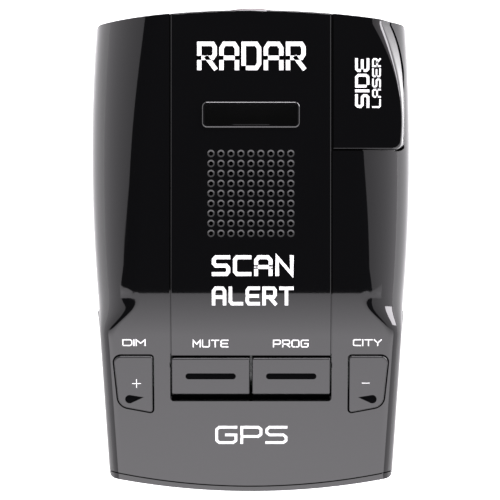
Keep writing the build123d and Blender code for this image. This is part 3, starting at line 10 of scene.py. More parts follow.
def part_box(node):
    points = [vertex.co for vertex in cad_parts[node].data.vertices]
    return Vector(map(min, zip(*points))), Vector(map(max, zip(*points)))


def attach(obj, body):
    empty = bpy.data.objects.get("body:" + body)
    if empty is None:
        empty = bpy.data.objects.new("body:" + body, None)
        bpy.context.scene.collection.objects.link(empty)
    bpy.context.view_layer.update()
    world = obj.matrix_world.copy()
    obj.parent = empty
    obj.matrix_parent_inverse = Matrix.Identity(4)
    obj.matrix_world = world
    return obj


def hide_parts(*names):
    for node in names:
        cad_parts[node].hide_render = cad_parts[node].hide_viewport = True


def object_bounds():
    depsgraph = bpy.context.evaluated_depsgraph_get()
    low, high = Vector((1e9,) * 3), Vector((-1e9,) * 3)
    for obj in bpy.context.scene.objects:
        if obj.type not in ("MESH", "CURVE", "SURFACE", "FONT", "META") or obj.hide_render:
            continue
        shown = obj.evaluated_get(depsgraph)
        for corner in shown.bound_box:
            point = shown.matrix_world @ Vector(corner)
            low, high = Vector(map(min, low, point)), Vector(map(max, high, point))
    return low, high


bl_info = {
    "name": "Windscreen Radar Detector",
    "version": (1, 0, 0),
    "blender": (4, 5, 0),
    "location": "View3D > Sidebar > Detector",
    "description": "Finishes, legends, dust mesh, display and studio for a compact radar detector",
    "category": "Object",
}

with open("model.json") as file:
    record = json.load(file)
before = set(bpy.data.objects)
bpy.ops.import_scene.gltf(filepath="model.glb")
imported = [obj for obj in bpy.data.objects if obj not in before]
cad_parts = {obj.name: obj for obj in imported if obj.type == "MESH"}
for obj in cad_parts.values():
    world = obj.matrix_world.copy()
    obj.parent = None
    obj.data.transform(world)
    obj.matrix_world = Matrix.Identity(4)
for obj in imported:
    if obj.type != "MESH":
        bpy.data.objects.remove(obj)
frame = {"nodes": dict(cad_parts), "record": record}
CAD_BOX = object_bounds()
MM = 0.001
PANEL_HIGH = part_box("centre_panel")[1]
CASE_HEIGHT = PANEL_HIGH.z / MM
CASE_WIDTH = 69.8
FRONT_Y = PANEL_HIGH.y / MM
REAR_Y = CAD_BOX[0].y / MM


# ---------------------------------------------------------------- the form of the top, as the case is moulded
# Places are x, y in millimetres. A cheek is the width and depth of the fall along one side of the top.
HALF_WIDTH = CASE_WIDTH / 2
FRONT_CORNER = (HALF_WIDTH - 0.9, FRONT_Y - 2.9)
WIDEST = (HALF_WIDTH, FRONT_Y - 34.8)
WAIST = (HALF_WIDTH - 1.5, REAR_Y + 40.8)
REAR_CORNER = (HALF_WIDTH - 3.7, REAR_Y + 3.1)
BEND_Y = REAR_Y + 49.1
BEND_RADIUS = 60.0
SLOPE = math.radians(14.0)
FRONT_CHEEK = (15.0, 11.5)
WAIST_CHEEK = (9.8, 9.0)
REAR_CHEEK = (3.2, 3.2)
FOLD_FRONT = WAIST[1] + 3.3
FOLD_LENGTH = 11.0
CHEEK_ARC = math.sin(math.radians(80.0))
KEY_PROUD = 0.45
NORMAL_STEP = 0.002  # millimetres to either side over which the form's slope is measured

# ---------------------------------------------------------------- shading of the covers
SMOOTH_ANGLE = 24.0  # degrees between faces that still read as one surface
MERGE_REACH = 1e-7
SKIN_REACH = 0.06  # millimetres that a corner may stand off the form and still belong to it
SIDE_REACH = 4.0  # how much further, in times, it may stand off at the sides, where the form falls steeply
SKIN_AGREEMENT = 0.985  # least cosine between a triangle and the form

# ---------------------------------------------------------------- the studio, in metres
FLOOR_LEVEL = -0.00005
TENT_SIDES = 72
OPENING_FRONT = 1.25
LEFT_EDGE = (  # of the dark opening overhead, from its front back
    (-0.62, OPENING_FRONT), (-0.62, 0.2), (-0.7, 0.13), (-0.74, 0.075), (-0.86, 0.045), (-1.0, 0.02), (-1.2, -0.03),
)
LEFT_END = -1.5
RIGHT_EDGE = ((0.4, OPENING_FRONT), (0.4, 0.07), (0.46, 0.03), (0.52, -0.03), (0.6, -0.12))
RIGHT_END = 0.7
STRIP_BEARINGS = ((8, 60), (80, 100))  # degrees round the tent that each strip light spans
STRIP_LOW, STRIP_HIGH = 0.12, 0.9
CLOTH_TINT = (0.985, 0.955, 1.0, 1.0)
SIDE_CAP, REAR_CAP, STRIP_CAP = 8.0, 4.0, 30.0  # brightness that a softbox never passes
ROOM_LIGHT = 0.04
SENSOR_WIDTH = 36.0
CAMERA_PLACE = (-0.0002, 0.0001)
CAMERA_NEAR, CAMERA_FAR = 0.01, 20.0


def circle_through(a, b, c):
    """Centre and radius of the circle through three points."""
    d = 2 * (a[0] * (b[1] - c[1]) + b[0] * (c[1] - a[1]) + c[0] * (a[1] - b[1]))
    squares = [p[0] ** 2 + p[1] ** 2 for p in (a, b, c)]
    x = (squares[0] * (b[1] - c[1]) + squares[1] * (c[1] - a[1]) + squares[2] * (a[1] - b[1])) / d
    y = (squares[0] * (c[0] - b[0]) + squares[1] * (a[0] - c[0]) + squares[2] * (b[0] - a[0])) / d
    return x, y, math.hypot(a[0] - x, a[1] - y)


SIDE_CIRCLE = circle_through(FRONT_CORNER, WIDEST, WAIST)


def half_width(y):
    """Half the width of the upper case at y, in millimetres."""
    if y < WAIST[1]:
        return WAIST[0] + (REAR_CORNER[0] - WAIST[0]) * (y - WAIST[1]) / (REAR_CORNER[1] - WAIST[1])
    return SIDE_CIRCLE[0] + math.sqrt(SIDE_CIRCLE[2] ** 2 - (y - SIDE_CIRCLE[1]) ** 2)


def centre_height(y):
    """Height of the top on the centre line."""
    behind = BEND_Y - y
    bend = BEND_RADIUS * math.sin(SLOPE)
    if behind <= 0:
        return CASE_HEIGHT
    if behind < bend:
        return CASE_HEIGHT - BEND_RADIUS + math.sqrt(BEND_RADIUS**2 - behind**2)
    return CASE_HEIGHT - BEND_RADIUS * (1 - math.cos(SLOPE)) - (behind - bend) * math.tan(SLOPE)


def between(a, b, t):
    """The value a share t of the way from a to b."""
    return a + (b - a) * t


def skin_height(x, y):
    """Height of the top at a place seen from above, in millimetres."""
    taper = min(1.0, (FRONT_CORNER[1] - y) / (FRONT_CORNER[1] - FOLD_FRONT))
    t = min(1.0, max(0.0, (FOLD_FRONT - y) / FOLD_LENGTH))
    fold = t**3 * (10 - 15 * t + 6 * t * t)
    width, depth = (
        between(between(FRONT_CHEEK[i], WAIST_CHEEK[i], taper), REAR_CHEEK[i], fold) for i in (0, 1)
    )
    u = max(0.0, (abs(x) - half_width(y) + width) / width)
    if u <= CHEEK_ARC:
        return centre_height(y) - depth * (1 - math.sqrt(1 - u * u))
    end = math.sqrt(1 - CHEEK_ARC**2)
    return centre_height(y) - depth * (1 - end + (u - CHEEK_ARC) * CHEEK_ARC / end)


def skin_normal(x, y):
    """The way that the top faces at a place seen from above."""
    step = NORMAL_STEP
    across = (skin_height(x + step, y) - skin_height(x - step, y)) / (2 * step)
    along = (skin_height(x, y + step) - skin_height(x, y - step)) / (2 * step)
    return Vector((-across, -along, 1.0)).normalized()


# ---------------------------------------------------------------- sizes and colours that a user may change
class FinishSettings(bpy.types.PropertyGroup):
    shell_colour: StringProperty(name="Shell", description="Piano black ABS, sRGB hex", default="050506")
    base_colour: StringProperty(name="Base", description="Textured black ABS, sRGB hex", default="141416")
    key_colour: StringProperty(name="Keys", description="Gloss key caps, sRGB hex", default="060607")
    ink_colour: StringProperty(name="Ink", description="Pad-printed legends, sRGB hex", default="F4F4F4")
    shell_roughness: FloatProperty(
        name="Shell roughness", description="Polished-tool gloss",
        default=0.045, min=0.0, max=1.0, subtype="FACTOR",
    )


class LegendSettings(bpy.types.PropertyGroup):
    ink_thickness: FloatProperty(
        name="Ink thickness", description="Height of the ink above the plastic", default=0.00002, unit="LENGTH"
    )
    strip: FloatProperty(
        name="Strip", description="Width of the strips in which ink follows a bend", default=0.0005, unit="LENGTH"
    )


class MeshSettings(bpy.types.PropertyGroup):
    pitch: FloatProperty(name="Pitch", description="Distance between threads", default=0.0004, unit="LENGTH")
    thread: FloatProperty(name="Thread", description="Thread diameter", default=0.00016, unit="LENGTH")


class DisplaySettings(bpy.types.PropertyGroup):
    columns: IntProperty(name="Columns", description="Dots across the display", default=60, min=2)
    rows: IntProperty(name="Rows", description="Dots up the display", default=12, min=2)
    dot: FloatProperty(name="Dot", description="Side of one dot", default=0.0005, unit="LENGTH")


class StudioSettings(bpy.types.PropertyGroup):
    camera_height: FloatProperty(
        name="Camera height", description="Camera above the base", default=0.75, unit="LENGTH"
    )
    lens: FloatProperty(name="Lens", description="Focal length", default=237.8, unit="CAMERA")
    tent_radius: FloatProperty(
        name="Tent radius", description="Distance of the tent's wall", default=1.7, unit="LENGTH"
    )
    tent_height: FloatProperty(
        name="Tent height", description="Height of the tent's roof", default=1.2, unit="LENGTH"
    )
    rear_edge: FloatProperty(
        name="Rear softbox", description="From the object's middle back to the rear softbox",
        default=0.234, unit="LENGTH",
    )
    wall_light: FloatProperty(
        name="Wall", description="Brightness of the tent at the floor", default=2.25, min=0.0
    )
    roof_dimming: FloatProperty(
        name="Roof dimming", description="How much dimmer straight above", default=1.4, min=0.0
    )
    rear_light: FloatProperty(
        name="Rear", description="Rear softbox at its front edge", default=0.9, min=0.0
    )
    rear_gain: FloatProperty(
        name="Rear gain", description="Rise of the rear softbox per metre", default=4.0, min=0.0
    )
    strip_light: FloatProperty(
        name="Strips", description="Brightness of the two strip lights", default=14.0, min=0.0
    )


# ---------------------------------------------------------------- materials
def srgb(code):
    """A sRGB hex colour as linear RGBA."""
    values = [int(code[i : i + 2], 16) / 255 for i in (0, 2, 4)]
    return tuple(v / 12.92 if v <= 0.04045 else ((v + 0.055) / 1.055) ** 2.4 for v in values) + (1.0,)


def add(tree, kind, settings=None, inputs=None, **links):
    """Adds one node. settings are its attributes, inputs its socket values, and links say which output feeds a socket,
    by the socket's name, or by i and its number."""
    node = tree.nodes.new(kind)
    for key, value in (settings or {}).items():
        setattr(node, key, value)
    for key, value in (inputs or {}).items():
        node.inputs[key].default_value = value
    for key, source in links.items():
        numbered = key[0] == "i" and key[1:].isdigit()
        tree.links.new(source, node.inputs[int(key[1:]) if numbered else key.replace("_", " ")])
    return node


def per_mm(size_mm, factor=1.0):
    """The texture scale that gives features of this many millimetres on Object coordinates in metres."""
    return factor * 1000.0 / size_mm


MADE = {}
NOISE = {"Detail": 3.0, "Roughness": 0.55}
STREAK = (1.0, 0.03, 1.0)  # a brushed streak is about thirty times as long as it is wide
TRACKS = {"Mortar Size": 0.06, "Color1": (1, 1, 1, 1), "Color2": (0.7, 0.7, 0.7, 1), "Mortar": (0, 0, 0, 1)}
LINES_PER_WAVE = 0.314  # the wave texture draws about three bands to each unit of its scale
COAT_ROUGHNESS = 0.03
MIX_FACTOR, MIX_FIRST, MIX_SECOND, MIX_COLOUR = 0, 6, 7, 2  # a colour mix's sockets, which share their names


def pattern_field(tree, pattern, grain, place):
    """The output that runs from 0 to 1 over the surface as the pattern does."""
    scale = {"Scale": per_mm(grain)}
    if pattern == "cells":
        return add(tree, "ShaderNodeTexVoronoi", None, scale, Vector=place).outputs["Distance"]
    if pattern == "tracks":
        return add(tree, "ShaderNodeTexBrick", None, {**scale, **TRACKS}, Vector=place).outputs["Color"]
    if pattern == "lines":
        waves = {"Scale": per_mm(grain, LINES_PER_WAVE), "Distortion": 0.0}
        return add(tree, "ShaderNodeTexWave", {"bands_direction": "X"}, waves, Vector=place).outputs["Fac"]
    return add(tree, "ShaderNodeTexNoise", None, {**scale, **NOISE}, Vector=place).outputs["Fac"]


def material(name, colour, second, roughness, metallic=0.0, ior=1.5, grain=0.3, spread=0.04, bump=0.0, depth=0.01,
             pattern="noise", coat=0.0, transmission=0.0, sheen=0.0, light=0.0):
    """A moulded, cast, drawn, rolled or printed surface. grain is its pattern's size in millimetres, spread how far the
    roughness wanders, bump and depth how strongly and how deep in millimetres the pattern stands up."""
    if name in MADE:
        return MADE[name]
    mat = bpy.data.materials.new(name)
    mat.use_nodes = True
    tree = mat.node_tree
    tree.nodes.clear()
    place = add(tree, "ShaderNodeTexCoord").outputs["Object"]
    if pattern == "brushed":
        place = add(tree, "ShaderNodeMapping", None, {"Scale": STREAK}, Vector=place).outputs["Vector"]
    field = pattern_field(tree, pattern, grain, place)
    tone = add(
        tree, "ShaderNodeMix", {"data_type": "RGBA"}, {MIX_FIRST: srgb(colour), MIX_SECOND: srgb(second)}
    )
    tree.links.new(field, tone.inputs[MIX_FACTOR])
    rough = add(
        tree, "ShaderNodeMapRange", None,
        {"To Min": max(0.0, roughness - spread), "To Max": min(1.0, roughness + spread)}, Value=field,
    )
    shader = add(
        tree, "ShaderNodeBsdfPrincipled", None,
        {"Metallic": metallic, "IOR": ior, "Coat Weight": coat, "Coat Roughness": COAT_ROUGHNESS,
         "Transmission Weight": transmission, "Sheen Weight": sheen,
         "Emission Color": (1.0, 1.0, 1.0, 1.0), "Emission Strength": light},
        Base_Color=tone.outputs[MIX_COLOUR], Roughness=rough.outputs["Result"],
    )
    if bump:
        raised = add(tree, "ShaderNodeBump", None, {"Strength": bump, "Distance": depth * MM}, Height=field)
        tree.links.new(raised.outputs["Normal"], shader.inputs["Normal"])
    add(tree, "ShaderNodeOutputMaterial", None, None, Surface=shader.outputs["BSDF"])
    MADE[name] = mat
    return mat


def finishes():
    """Every finish of the record, by its slot."""
    s = bpy.context.scene.detector_finish
    shell = s.shell_roughness
    return {
        # Polished tool steel gives ABS a piano gloss with a very faint, long ripple.
        "gloss_black": dict(name="piano_gloss_abs", colour=s.shell_colour, second="060607", roughness=shell,
                            ior=1.53, grain=14.0, spread=0.008),
        # The keys' tool is polished a little less, so what they mirror is slightly softer than on the case.
        "key_black": dict(name="gloss_abs_key_caps", colour=s.key_colour, second="08080A", roughness=shell + 0.02,
                          ior=1.53, grain=6.0, spread=0.01),
        # A spark-eroded tool leaves a fine even grain, drawn at 0.35 mm so that it shows.
        "base_black": dict(name="spark_eroded_abs", colour=s.base_colour, second="1B1B1D", roughness=0.42,
                           ior=1.53, grain=0.35, spread=0.08, bump=0.35, depth=0.02),
        # Dyed acrylic passes infrared: a flat dark mirror with a trace of deep red in it.
        "smoked_window": dict(name="infrared_acrylic_window", colour="120609", second="16080B", roughness=0.04,
                              ior=1.49, grain=18.0, spread=0.006),
        # A paler dye and a turned, polished face give a sharp highlight over a clearer red.
        "clear_lens": dict(name="polished_acrylic_lens", colour="2A0C12", second="331016", roughness=0.03,
                           ior=1.49, grain=12.0, spread=0.004, coat=0.4),
        # Smoked clear acrylic lets the unlit display show dimly behind a clean reflection.
        "display_tint": dict(name="smoked_acrylic_display_cover", colour="30343A", second="2C3036", roughness=0.035,
                             ior=1.49, grain=16.0, spread=0.005, transmission=0.92),
        # A dull laminate over print reads as an even soft gray with hardly any highlight.
        "label_paper": dict(name="printed_polyester_label", colour="9C9C9E", second="A4A4A6", roughness=0.42,
                            grain=0.8, spread=0.05, bump=0.1, depth=0.01),
        # Bright zinc over headed steel gives a cool gray with short streaks.
        "screw_steel": dict(name="zinc_plated_steel", colour="9A9A9C", second="86868A", roughness=0.32, metallic=1.0,
                            grain=0.5, spread=0.08, bump=0.1, depth=0.01, pattern="brushed"),
        # The socket is moulded in a polished tool like the case, so only its rounded rim lights up.
        "socket_black": dict(name="gloss_nylon_socket", colour="060607", second="080809", roughness=0.12,
                             ior=1.53, grain=3.0, spread=0.02, coat=1.0),
        # Rolled strip keeps the rollers' lines, which draw its highlight out along them.
        "spring_steel": dict(name="rolled_spring_steel", colour="B9BABC", second="A6A7AA", roughness=0.2, metallic=1.0,
                             grain=0.6, spread=0.06, pattern="brushed"),
        # Fine twisted threads scatter light to a dusty dark gray with a soft edge.
        "mesh_black": dict(name="woven_polyester_threads", colour="1A1A1B", second="242426", roughness=0.75,
                           grain=0.1, spread=0.1, sheen=0.2, pattern="lines"),
        # Closed cells swallow light: a dull black with a pitted face.
        "foam_black": dict(name="closed_cell_foam", colour="1C1C1D", second="262628", roughness=0.9,
                           grain=0.4, bump=0.5, depth=0.05, pattern="cells"),
        # Electrophoretic coating over pressed steel gives an even satin black.
        "speaker_steel": dict(name="black_coated_steel", colour="232325", second="2B2B2E", roughness=0.4,
                              grain=0.5, spread=0.08, bump=0.1),
        # Pressed pulp is dead matte, with short fibres that mottle it.
        "cone_paper": dict(name="pressed_pulp_cone", colour="26262A", second="303034", roughness=0.85,
                           grain=0.6, bump=0.4, depth=0.03),
        # Sintered ferrite is a dense charcoal gray with a fine stony grain.
        "magnet_ceramic": dict(name="sintered_ferrite", colour="2E2E31", second="3A3A3D", roughness=0.6,
                               grain=0.5, bump=0.2, depth=0.02),
        # Solder mask over copper: slightly lighter where tracks run under it.
        "board_green": dict(name="solder_masked_board", colour="0E3B1E", second="1C5A30", roughness=0.28,
                            grain=3.0, spread=0.05, bump=0.2, depth=0.02, coat=0.3, pattern="tracks"),
        # Die casting leaves a dull bright skin that clouds where the metal flowed.
        "cast_metal": dict(name="die_cast_aluminium", colour="A9ABAD", second="989A9C", roughness=0.42, metallic=1.0,
                           grain=0.9, spread=0.1, bump=0.25, depth=0.02),
        # Filled epoxy from an eroded mould is a flat dark gray.
        "chip_black": dict(name="moulded_epoxy_package", colour="161618", second="1F1F21", roughness=0.55,
                           grain=0.3, bump=0.2),
        # A drawn can keeps lines of the draw and a bright, stretched highlight.
        "can_metal": dict(name="drawn_aluminium_can", colour="C4C6C8", second="B4B6B8", roughness=0.25, metallic=1.0,
                          grain=0.7, spread=0.06, pattern="brushed"),
        # Tinned sheet is bright but slightly clouded by the flow of the tin.
        "tin_plate": dict(name="tinned_steel_sheet", colour="B5B6B8", second="A3A4A6", roughness=0.3, metallic=1.0,
                          grain=1.2, spread=0.08, bump=0.08),
        # Fired ceramic is a warm tan with a low eggshell gloss.
        "patch_ceramic": dict(name="silvered_dielectric_ceramic", colour="B59B78", second="C2AA88", roughness=0.4,
                              grain=0.8, bump=0.1),
        # Turning leaves fine rings, which spread a yellow highlight across them.
        "brass_turned": dict(name="turned_brass", colour="C9A24B", second="B8923F", roughness=0.22, metallic=1.0,
                             grain=0.3, spread=0.06, pattern="brushed"),
        # Unfilled nylon is a waxy off-white with a soft broad highlight.
        "socket_ivory": dict(name="moulded_ivory_nylon", colour="D8CFB8", second="CFC5AC", roughness=0.45,
                             grain=0.6, bump=0.1),
        # Glass-filled nylon is a satin black with a slight tooth.
        "switch_black": dict(name="moulded_black_nylon", colour="1A1A1C", second="222225", roughness=0.42,
                             grain=0.4, spread=0.06, bump=0.2, depth=0.01),
        # Acetal is a cool, faintly greasy white.
        "plunger_white": dict(name="moulded_acetal", colour="DEDEDA", second="D4D4D0", roughness=0.38,
                              grain=0.7, bump=0.05),
        # Float glass over a dark cell mirrors sharply, with a green-gray cast.
        "display_glass": dict(name="display_cell_glass", colour="1C2222", second="202727", roughness=0.06,
                              ior=1.52, grain=9.0, spread=0.01),
        # Polyimide over copper is a glossy amber, darker over each conductor.
        "ribbon_amber": dict(name="polyimide_flat_ribbon", colour="B8641C", second="8E4712", roughness=0.3,
                             grain=0.8, spread=0.05, pattern="lines"),
        # Cast epoxy with a visible-light dye is near black, with a wet red gloss.
        "diode_black": dict(name="dyed_epoxy_diode", colour="1A0A10", second="220D14", roughness=0.08,
                            grain=1.5, spread=0.02, coat=0.3),
        # Extruded vinyl has a soft plastic sheen on a strong even red.
        "lead_red": dict(name="pvc_wire_insulation", colour="A01818", second="8C1212", roughness=0.38,
                         grain=0.8, bump=0.05),
        # Screen ink dries with a fine matte tooth, drawn at 0.2 mm so that it shows.
        "ink": dict(name="white_pad_print_ink", colour=s.ink_colour, second="E6E6E6", roughness=0.42,
                    grain=0.2, spread=0.06, bump=0.15, depth=0.004),
        # Unlit dots are only a shade lighter than the glass they lie on.
        "dot": dict(name="unlit_display_dots", colour="3A3F40", second="464C4D", roughness=0.3,
                    grain=0.5, bump=0.05),
        # The floor is a matte acrylic light table, so that it lights the object's lower sides evenly.
        "floor": dict(name="matte_white_light_table", colour="F4F4F4", second="F0F0F0", roughness=0.85,
                      grain=5.0, bump=0.05, depth=0.05, light=0.8),
    }


def finish(slot_name):
    """The material of a slot of the record."""
    return material(**finishes()[slot_name])


# ---------------------------------------------------------------- making objects
def new_object(name, mesh, slot_name, body="housing"):
    """A piece of the object: a mesh with its finish, on the body that carries it."""
    obj = bpy.data.objects.new(name, mesh)
    bpy.context.scene.collection.objects.link(obj)
    mesh.materials.clear()
    mesh.materials.append(finish(slot_name))
    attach(obj, body)
    return obj


def merged_copy(node):
    """The CAD node's mesh as one joined skin, smooth except across its edges."""
    mesh = frame["nodes"][node].data.copy()
    work = bmesh.new()
    work.from_mesh(mesh)
    bmesh.ops.remove_doubles(work, verts=work.verts, dist=MERGE_REACH)
    work.to_mesh(mesh)
    work.free()
    if "custom_normal" in mesh.attributes:
        mesh.attributes.remove(mesh.attributes["custom_normal"])
    mesh.shade_smooth()
    mesh.set_sharp_from_angle(angle=math.radians(SMOOTH_ANGLE))
    return mesh


def weighted_normals(mesh):
    """Corner normals in which large flat faces count for more, so that a flat stays flat beside a rounded edge."""
    limit = math.cos(math.radians(SMOOTH_ANGLE))
    around = [[] for _ in mesh.vertices]
    for polygon in mesh.polygons:
        for vertex in polygon.vertices:
            around[vertex].append((polygon.normal.copy(), polygon.area))
    normals = [None] * len(mesh.loops)
    for polygon in mesh.polygons:
        for corner in polygon.loop_indices:
            total = Vector()
            for normal, area in around[mesh.loops[corner].vertex_index]:
                if normal.dot(polygon.normal) > limit:
                    total += normal * area
            normals[corner] = total.normalized() if total.length > 0 else polygon.normal.copy()
    return normals


def true_normals(mesh, normals):
    """Gives the top's corners the exact normal of the form, so that gloss reads smoothly over the triangles."""
    for polygon in mesh.polygons:
        for corner in polygon.loop_indices:
            point = mesh.vertices[mesh.loops[corner].vertex_index].co / MM
            reach = SKIN_REACH * (1 + SIDE_REACH * abs(point.x) / HALF_WIDTH)
            if abs(point.z - skin_height(point.x, point.y)) > reach:
                continue
            exact = skin_normal(point.x, point.y)
            if polygon.normal.dot(exact) > SKIN_AGREEMENT:
                normals[corner] = exact


def cover(node, slot_name, body="housing", exact=False):
    """A gloss cover that stands for its CAD node with a joined, smoothly shaded skin."""
    mesh = merged_copy(node)
    normals = weighted_normals(mesh)
    if exact:
        true_normals(mesh, normals)
    mesh.normals_split_custom_set(normals)
    obj = new_object(node + "_skin", mesh, slot_name, body)
    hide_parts(node)
    return obj


# Strokes of each letter in a unit square, in a plain squared hand.
STROKES = {
    "A": (((0, 0), (0, 0.82), (0.18, 1), (0.82, 1), (1, 0.82), (1, 0)), ((0, 0.42), (1, 0.42))),
    "C": (((1, 1), (0.14, 1), (0, 0.86), (0, 0.14), (0.14, 0), (1, 0)),),
    "D": (((0, 0), (0, 1), (0.82, 1), (1, 0.82), (1, 0.18), (0.82, 0), (0, 0)),),
    "E": (((1, 1), (0.14, 1), (0, 0.86), (0, 0.14), (0.14, 0), (1, 0)), ((0, 0.5), (0.9, 0.5))),
    "G": (((1, 1), (0.14, 1), (0, 0.86), (0, 0.14), (0.14, 0), (0.86, 0), (1, 0.14), (1, 0.5), (0.5, 0.5)),),
    "I": (((0.5, 0), (0.5, 1)),),
    "L": (((0, 1), (0, 0.14), (0.14, 0), (1, 0)),),
    "M": (((0, 0), (0, 1), (0.5, 0.4), (1, 1), (1, 0)),),
    "N": (((0, 0), (0, 1), (1, 0), (1, 1)),),
    "O": (
        ((0.5, 0), (0.14, 0), (0, 0.14), (0, 0.86), (0.14, 1), (0.86, 1), (1, 0.86), (1, 0.14), (0.86, 0), (0.5, 0)),
    ),
    "P": (((0, 0), (0, 1), (0.86, 1), (1, 0.86), (1, 0.54), (0.86, 0.4), (0, 0.4)),),
    "R": (((0, 0), (0, 1), (0.86, 1), (1, 0.86), (1, 0.56), (0.86, 0.42), (0, 0.42)), ((0.5, 0.42), (1, 0))),
    "S": (
        ((1, 1), (0.14, 1), (0, 0.86), (0, 0.64), (0.14, 0.5), (0.86, 0.5), (1, 0.36), (1, 0.14), (0.86, 0),
         (0, 0)),
    ),
    "T": (((0, 1), (1, 1)), ((0.5, 1), (0.5, 0))),
    "U": (((0, 1), (0, 0.14), (0.14, 0), (0.86, 0), (1, 0.14), (1, 1)),),
    "Y": (((0, 1), (0.5, 0.45), (1, 1)), ((0.5, 0.5), (0.5, 0))),
    "+": (((0, 0.5), (1, 0.5)), ((0.5, 0), (0.5, 1))),
    "-": (((0, 0.5), (1, 0.5)),),
}
NARROW = {"I": 0.0}  # letters that are one upright stroke
MITRE_LIMIT = 0.45  # least cosine that stretches a mitre, so that a sharp turn doesn't run to a spike


def stroke_faces(work, points, half):
    """One band of ink along a run of points, mitred where it turns."""
    sides = []
    for i, point in enumerate(points):
        before = (point - points[i - 1]).normalized() if i else (points[1] - point).normalized()
        after = (points[i + 1] - point).normalized() if i + 1 < len(points) else before
        across = Vector((-(before.y + after.y), before.x + after.x, 0)).normalized()
        reach = half / max(MITRE_LIMIT, across.dot(Vector((-after.y, after.x, 0))))
        end = before * half * (int(i + 1 == len(points)) - int(i == 0))
        sides.append([work.verts.new(point + end + across * reach * way) for way in (1, -1)])
    for (a, b), (c, d) in zip(sides, sides[1:]):
        work.faces.new((a, b, d, c))


def printed(name, words, x, y, width, height, pen, turn=0.0, gap=1.0, lift=0.0, body="housing", level=None):
    """Ink laid on the top about x, y: cut in strips so that it follows the bend, with a real thickness.
    Sizes are in millimetres. gap is the clear space between letters in widths of the pen, turn is in degrees, lift is
    how far the ink stands above the form, and level is its height where it lies on a flat instead."""
    s = bpy.context.scene.detector_legend
    spans = [NARROW.get(letter, 1.0) for letter in words]
    room = pen * (1 + gap) if len(words) > 1 else 0.0
    unit = (width - pen - room * (len(words) - 1)) / sum(spans)
    work = bmesh.new()
    left = (pen - width) / 2
    for letter, span in zip(words, spans):
        for run in STROKES[letter]:
            points = [
                Vector((left + px * span * unit, (py - 0.5) * (height - pen), 0)) * MM
                for px, py in run
            ]
            stroke_faces(work, points, pen * MM / 2)
        left += span * unit + room
    place = Matrix.Translation((x * MM, y * MM, 0)) @ Matrix.Rotation(math.radians(turn), 4, "Z")
    bmesh.ops.transform(work, matrix=place, verts=work.verts)
    bottom = min(v.co.y for v in work.verts)
    top = max(v.co.y for v in work.verts)
    if level is None and bottom / MM < BEND_Y:
        line = bottom + s.strip
        while line < top:
            everything = work.verts[:] + work.edges[:] + work.faces[:]
            bmesh.ops.bisect_plane(work, geom=everything, plane_co=(0, line, 0), plane_no=(0, 1, 0))
            line += s.strip
    bmesh.ops.triangulate(work, faces=work.faces[:])
    for vert in work.verts:
        ground = skin_height(vert.co.x / MM, vert.co.y / MM) if level is None else level
        vert.co.z = (ground + lift) * MM + s.ink_thickness
    for face in work.faces:
        if face.normal.z < 0:
            face.normal_flip()
    grown = bmesh.ops.extrude_face_region(work, geom=work.faces[:])
    for vert in [e for e in grown["geom"] if isinstance(e, bmesh.types.BMVert)]:
        vert.co.z -= 2 * s.ink_thickness
    bmesh.ops.recalc_face_normals(work, faces=work.faces[:])
    mesh = bpy.data.meshes.new(name)
    work.to_mesh(mesh)
    work.free()
    return new_object(name, mesh, "ink", body)


# ---------------------------------------------------------------- Geometry Nodes
QUARTER = math.pi / 2
THREAD_SIDES = 6
LAYER_DROP = 0.9  # threads that the lower layer lies below the upper, so that the two touch
DOT_THICKNESS = 0.00006
DOT_LIFT = 0.00004
DOTS_ACROSS, DOTS_UP = 0.94, 0.8  # shares of the glass that the dots cover


def new_group(name, sizes):
    """An empty geometry tree with named inputs, and its input and output nodes."""
    group = bpy.data.node_groups.new(name, "GeometryNodeTree")
    for label, kind in sizes:
        group.interface.new_socket(name=label, in_out="INPUT", socket_type=kind)
    group.interface.new_socket(name="Geometry", in_out="OUTPUT", socket_type="NodeSocketGeometry")
    return group, group.nodes.new("NodeGroupInput"), group.nodes.new("NodeGroupOutput")


def grow(name, group, values, slot_name, body="housing"):
    """Runs a geometry tree and keeps its result as a plain mesh."""
    holder = bpy.data.objects.new(name, bpy.data.meshes.new(name))
    bpy.context.scene.collection.objects.link(holder)
    modifier = holder.modifiers.new(name, "NODES")
    modifier.node_group = group
    for item in group.interface.items_tree:
        if item.in_out == "INPUT" and item.name in values:
            modifier[item.identifier] = values[item.name]
    depsgraph = bpy.context.evaluated_depsgraph_get()
    mesh = bpy.data.meshes.new_from_object(holder.evaluated_get(depsgraph))
    holder.modifiers.remove(modifier)
    bpy.data.objects.remove(holder)
    return new_object(name, mesh, slot_name, body)


def finish_tree(group, last, given, out, turn=(0, 0, 0)):
    """Puts what a tree has made in its place, and ends the tree with real, finished geometry."""
    placed = add(
        group, "GeometryNodeTransform", None, {"Rotation": turn},
        Geometry=last.outputs[0], Translation=given["Centre"],
    )
    real = add(group, "GeometryNodeRealizeInstances", None, None, Geometry=placed.outputs[0])
    coloured = add(
        group, "GeometryNodeSetMaterial", None, None, Geometry=real.outputs[0], Material=given["Material"]
    )
    group.links.new(coloured.outputs[0], out.inputs[0])


